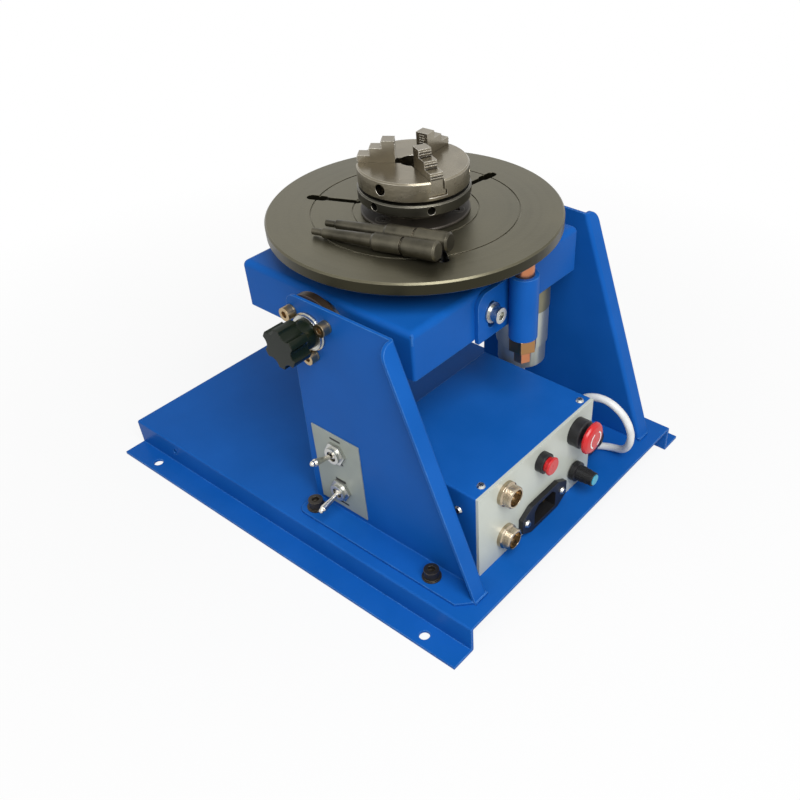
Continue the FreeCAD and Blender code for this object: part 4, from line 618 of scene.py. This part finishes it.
def make_ribs_round_a_drum():
    """Upright blocks on a circle, each turned to face outwards."""
    tree, given = new_tree("ribs round a drum", {"Count": 20, "Radius": 0.005, "Length": 0.01,
                                                 "Width": 0.0006, "Depth": 0.0008})
    circle = join_sockets(tree, "GeometryNodeMeshCircle", Vertices=given["Count"],
                          Radius=given["Radius"])
    size = join_sockets(tree, "ShaderNodeCombineXYZ", X=given["Depth"], Y=given["Width"],
                        Z=given["Length"])
    rib = join_sockets(tree, "GeometryNodeMeshCube", Size=size.outputs[0])
    outward = tree.nodes.new("FunctionNodeAlignRotationToVector")
    outward.axis = "X"
    where = tree.nodes.new("GeometryNodeInputPosition")
    tree.links.new(where.outputs[0], outward.inputs["Vector"])
    return end_tree(tree, given, circle.outputs[0], rib.outputs[0], outward.outputs[0])


RIBS = make_ribs_round_a_drum()
# Each row of ribs: its name, its distance behind the tip, its radius and its length.
KNOB_RIBS = (("outer", 2.6, 4.62, 4.4), ("middle", 6.6, 4.98, 4.4), ("inner", 10.4, 5.32, 4.2))
knob_y, knob_z = middle("speed_knob")[1:]
knob_tip = span("speed_knob")[1].x
for label, back, radius, length in KNOB_RIBS:
    grow(RIBS, f"knob_ribs_{label}", at(knob_tip - back, knob_y, knob_z, "X"), "speed_dial",
         Count=22, Radius=radius * MM, Length=length * MM, Width=0.62 * MM, Depth=0.55 * MM,
         Material=black_plastic_and_shade)
print("knob ribs made")

# %% [markdown]
# ### Steps and teeth of the jaws
# Jaws are ground with small grip ridges on every riser, with grooves below them, and the
# inner face has teeth across it. A row of thin bars gives all three, laid on the faces that the
# solid jaws already have; the grooves are dark bars, which are painted shade.

# %% Bars in a row


def make_bars_in_a_row():
    """Thin bars above each other."""
    tree, given = new_tree("bars in a row", {"Count": 3, "Spacing": 0.002, "Length": 0.01,
                                             "Width": 0.001, "Depth": 0.0005})
    size = join_sockets(tree, "ShaderNodeCombineXYZ", X=given["Depth"], Y=given["Length"],
                        Z=given["Width"])
    bar = join_sockets(tree, "GeometryNodeMeshCube", Size=size.outputs[0])
    return end_tree(tree, given, row_of_points(tree, given), bar.outputs[0])


BARS = make_bars_in_a_row()
JAW_ANGLES = (-23.5, 96.5, 216.5)
JAW_WIDTH = 8.0
JAW_STEP = 4.2
RISERS = (17.17, 24.33, 31.5)
TEETH_RADIUS = 10.0
TEETH_DROP = 11.4
# Each kind of bar on a riser: its name, its height over the step, the width that it leaves free,
# its own width and depth, and its finish. The dark groove bars are painted shade in the grooves.
RISER_BARS = (("ridge", 1.3, 0.2, 0.8, 1.1, jaw_steel),
              ("groove_shade", 0.55, 0.4, 0.7, 0.3, blackened_steel_and_shade))
jaw_top = span("chuck_jaw_1")[1].z
for number, angle in enumerate(JAW_ANGLES, 1):
    turn = (Matrix.Translation(Vector((*TABLE_AXIS, 0.0)))
            @ Matrix.Rotation(math.radians(angle), 4, "Z"))
    for step, radius in enumerate(RISERS):
        foot = jaw_top - JAW_STEP * (step + 1)
        for kind, rise, free, width, depth, surface in RISER_BARS:
            grow(BARS, f"jaw_{number}_{kind}_{step + 1}", turn @ at(radius, 0, foot + rise),
                 f"jaw_{number}", Count=2, Spacing=1.5 * MM, Length=(JAW_WIDTH - free) * MM,
                 Width=width * MM, Depth=depth * MM, Material=surface)
    grow(BARS, f"jaw_{number}_teeth", turn @ at(TEETH_RADIUS, 0, jaw_top - TEETH_DROP),
         f"jaw_{number}", Count=8, Spacing=1.4 * MM, Length=3.4 * MM, Width=0.6 * MM,
         Depth=0.5 * MM, Material=jaw_steel)
print("jaw ridges, grooves and teeth made")

# %% [markdown]
# ### Marks on the switch plate
# Four short dark bars stand where a real plate has its captions. They say nothing, on purpose.

# %% Plate marks
MARK_INSET = 4.0
plate_low, plate_high = span("switch_plate")
switch_x = middle("toggle_switches")[0]
across = Matrix.Rotation(math.radians(90), 4, "Z")
for label, height in (("top", plate_high.z - MARK_INSET), ("upper", 67.0), ("lower", 52.0),
                      ("bottom", plate_low.z + MARK_INSET)):
    grow(BARS, f"plate_mark_{label}", at(switch_x, plate_low.y, height) @ across, "base",
         Count=1, Length=9.0 * MM, Width=1.5 * MM, Depth=0.12 * MM, Material=black_plastic_and_shade)
print("plate marks made")

# %% [markdown]
# ## Single details
# What occurs once or twice is drawn point by point: a helper turns outlines into thin plates.

# %% Thin plates from an outline


def thin_plate(name, outline, thickness, place, surface, body):
    """A flat outline in millimetres with a thickness, moved to its place."""
    shape = bmesh.new()
    face = shape.faces.new([shape.verts.new((x * MM, y * MM, 0.0)) for x, y in outline])
    raised = bmesh.ops.extrude_face_region(shape, geom=[face])
    moved = [part for part in raised["geom"] if isinstance(part, bmesh.types.BMVert)]
    bmesh.ops.translate(shape, verts=moved, vec=(0.0, 0.0, thickness * MM))
    bmesh.ops.recalc_face_normals(shape, faces=shape.faces)
    mesh = bpy.data.meshes.new(name)
    shape.to_mesh(mesh)
    shape.free()
    mesh.transform(place)
    mesh.materials.append(surface)
    item = bpy.data.objects.new(name, mesh)
    scene.collection.objects.link(item)
    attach(item, body)


def arc_outline(inner, outer, start, end, steps=24):
    """A band of a ring between two angles in degrees."""
    angles = [math.radians(start + (end - start) * step / steps) for step in range(steps + 1)]
    out = [(outer * math.cos(angle), outer * math.sin(angle)) for angle in angles]
    back = [(inner * math.cos(angle), inner * math.sin(angle)) for angle in reversed(angles)]
    return out + back


def disc_outline(radius, steps=40):
    """Corners round a disc."""
    return [(radius * math.cos(2 * math.pi * step / steps),
             radius * math.sin(2 * math.pi * step / steps)) for step in range(steps)]


# %% [markdown]
# ### Emergency stop and speed knob
# Two plain white arcs on the red head tell the hand to twist it. The knob ends in a cyan cap.

# %% Arcs and cap
ARC_STARTS = (20.0, 200.0)
ARC_SWEEP = 130.0
ARC_SUNK = 0.02
head_y, head_z = middle("estop_head")[1:]
head_face = span("estop_head")[1].x
for number, start in enumerate(ARC_STARTS, 1):
    thin_plate(f"stop_arc_{number}", arc_outline(5.3, 6.3, start, start + ARC_SWEEP), 0.1,
               at(head_face - ARC_SUNK, head_y, head_z, "X"), white_plastic, "estop_mushroom")
thin_plate("knob_cap", disc_outline(3.9), 0.5, at(knob_tip, knob_y, knob_z, "X"), cyan_plastic,
           "speed_dial")
print("arcs and cap made")

# %% [markdown]
# ### Weld bead on the tray
# The tray is folded, and its corner is closed by a short weld whose ripples stand proud under
# the paint. Balls in a row that run into each other give them.

# %% Weld bead


def make_ripples_in_a_row():
    """Overlapping balls above each other."""
    tree, given = new_tree("ripples in a row", {"Count": 5, "Spacing": 0.0012, "Radius": 0.001})
    ball = join_sockets(tree, "GeometryNodeMeshIcoSphere", Radius=given["Radius"],
                        Subdivisions=2)
    return end_tree(tree, given, row_of_points(tree, given), ball.outputs["Mesh"])


RIPPLES = make_ripples_in_a_row()
WELD_INSET = 1.1
WELD_DROP = 7.0
tray_low, tray_high = span("tilt_tray")
weld_foot = at(tray_high.x - WELD_INSET, tray_low.y + WELD_INSET, tray_high.z - WELD_DROP)
grow(RIPPLES, "tray_weld", weld_foot, "carriage", Count=6, Spacing=1.1 * MM, Radius=1.0 * MM,
     Material=blue_paint)
print("weld bead made")

# %% [markdown]
# ### Cross recesses
# The small pan screws of the box have a cross for the driver. A thin dark cross, half sunk in
# the head, stands for the recess as painted shade. The places come from the loose parts of the
# screws' mesh, and which way a head faces follows from where it stands.

# %% Cross recesses


def loose_parts(name):
    """Low and high corner of every separate solid in one piece, in millimetres."""
    shape = bmesh.new()
    shape.from_mesh(NODES[name].data)
    bmesh.ops.remove_doubles(shape, verts=shape.verts, dist=1e-6)
    waiting = set(shape.verts)
    parts = []
    while waiting:
        front = [waiting.pop()]
        found = []
        while front:
            vertex = front.pop()
            found.append(vertex.co.copy())
            for edge in vertex.link_edges:
                other = edge.other_vert(vertex)
                if other in waiting:
                    waiting.remove(other)
                    front.append(other)
        parts.append(corners_of(found))
    shape.free()
    return parts


def cross_outline(reach, width):
    """Corners round a cross, arm by arm."""
    half = width / 2
    quarter = ((reach, -half), (reach, half), (half, half))
    points = []
    for corner in range(4):
        angle = math.radians(90 * corner)
        points += [(x * math.cos(angle) - y * math.sin(angle),
                    x * math.sin(angle) + y * math.cos(angle)) for x, y in quarter]
    return points


ABOVE_THE_COVER = 88.0
BEFORE_THE_PANEL = 142.0
CROSS_SUNK = 0.03
for number, (low, high) in enumerate(loose_parts("box_screws"), 1):
    centre = (low + high) / 2
    if high.z > ABOVE_THE_COVER:
        place = at(centre.x, centre.y, high.z - CROSS_SUNK, "Z")
    elif high.x > BEFORE_THE_PANEL:
        place = at(high.x - CROSS_SUNK, centre.y, centre.z, "X")
    else:
        place = at(centre.x, low.y + CROSS_SUNK, centre.z, "-Y")
    # Each dark cross is painted shade in the screw's recess.
    thin_plate(f"screw_recess_shade_{number}", cross_outline(1.5, 0.55), 0.06, place, black_plastic_and_shade,
               "base")
print("cross recesses made")

# %% [markdown]
# ## Floor and background
# The floor is a large pale sheet that keeps the object's shadow. The camera, mirrors and glass
# see a white room, while the light on the object comes from the lamps and a softer room: the
# `Light Path` node tells these rays apart, so the background never adds light.

# %% Floor and room


def seen_directly(tree):
    """1 for rays from the camera or off metal and through glass, 0 for diffuse light."""
    path = tree.nodes.new("ShaderNodeLightPath")
    direct = calculate(tree, "MAXIMUM", path.outputs["Is Camera Ray"],
                       path.outputs["Is Glossy Ray"])
    return calculate(tree, "MAXIMUM", direct, path.outputs["Is Transmission Ray"])


def mix_to_output(tree, share, first, second, output_type):
    """Two shaders mixed by a share, as the surface of a material or a world."""
    mixed = tree.nodes.new("ShaderNodeMixShader")
    tree.links.new(share, mixed.inputs["Fac"])
    tree.links.new(first.outputs[0], mixed.inputs[1])
    tree.links.new(second.outputs[0], mixed.inputs[2])
    output = tree.nodes.new(output_type)
    tree.links.new(mixed.outputs[0], output.inputs["Surface"])


FLOOR_HALF = 3.0
FLOOR_LEVEL = -0.0005
floor_mesh = bpy.data.meshes.new("floor")
floor_mesh.from_pydata([(x * FLOOR_HALF, y * FLOOR_HALF, FLOOR_LEVEL)
                        for x, y in ((-1, -1), (1, -1), (1, 1), (-1, 1))], [], [(0, 1, 2, 3)])
floor = bpy.data.objects.new("floor", floor_mesh)
scene.collection.objects.link(floor)
paper = bpy.data.materials.new("studio paper")
paper.use_nodes = True
tree = paper.node_tree
tree.nodes.clear()
plain = tree.nodes.new("ShaderNodeBsdfDiffuse")
plain.inputs["Color"].default_value = (0.75, 0.75, 0.75, 1.0)
glow = tree.nodes.new("ShaderNodeEmission")
distance = tree.nodes.new("ShaderNodeVectorMath")
distance.operation = "LENGTH"
tree.links.new(tree.nodes.new("ShaderNodeTexCoord").outputs["Object"], distance.inputs[0])
whiter = stretch(tree, distance.outputs["Value"], 0.18, 0.55, 0.86, 1.0)
share = calculate(tree, "MULTIPLY", seen_directly(tree), whiter)
mix_to_output(tree, share, plain, glow, "ShaderNodeOutputMaterial")
floor_mesh.materials.append(paper)

world = bpy.data.worlds.new("room")
scene.world = world
world.use_nodes = True
tree = world.node_tree
tree.nodes.clear()
soft_room = tree.nodes.new("ShaderNodeBackground")
soft_room.inputs["Color"].default_value = (0.96, 0.98, 1.0, 1.0)
soft_room.inputs["Strength"].default_value = 0.26
white_room = tree.nodes.new("ShaderNodeBackground")
white_room.inputs["Color"].default_value = (1.0, 1.0, 1.0, 1.0)
mix_to_output(tree, seen_directly(tree), soft_room, white_room, "ShaderNodeOutputWorld")
print("floor and room ready")

# %% [markdown]
# ## Lamps
# One large soft lamp high over the panel side does most of the work, and a weak one on the knob
# side keeps that side readable. Together with the room they come to about a level of one on a
# face that looks up, so a colour renders about as it is written.

# %% Lamps


def soft_lamp(name, place, target, size, power):
    """A white area lamp aimed at a target."""
    light = bpy.data.lights.new(name, "AREA")
    light.shape = "RECTANGLE"
    light.size, light.size_y = size
    light.energy = power
    item = bpy.data.objects.new(name, light)
    item.location = place
    item.rotation_euler = (Vector(target) - Vector(place)).to_track_quat("-Z", "Y").to_euler()
    scene.collection.objects.link(item)


soft_lamp("over the panel", (0.75, -0.40, 1.05), (0.03, 0.0, 0.1), (0.8, 0.8), 17.0)
soft_lamp("over the shoulder", (-0.20, -0.95, 0.75), (0.0, 0.0, 0.1), (0.8, 0.6), 1.6)
scene.view_settings.view_transform = "Standard"
print("lamps ready")
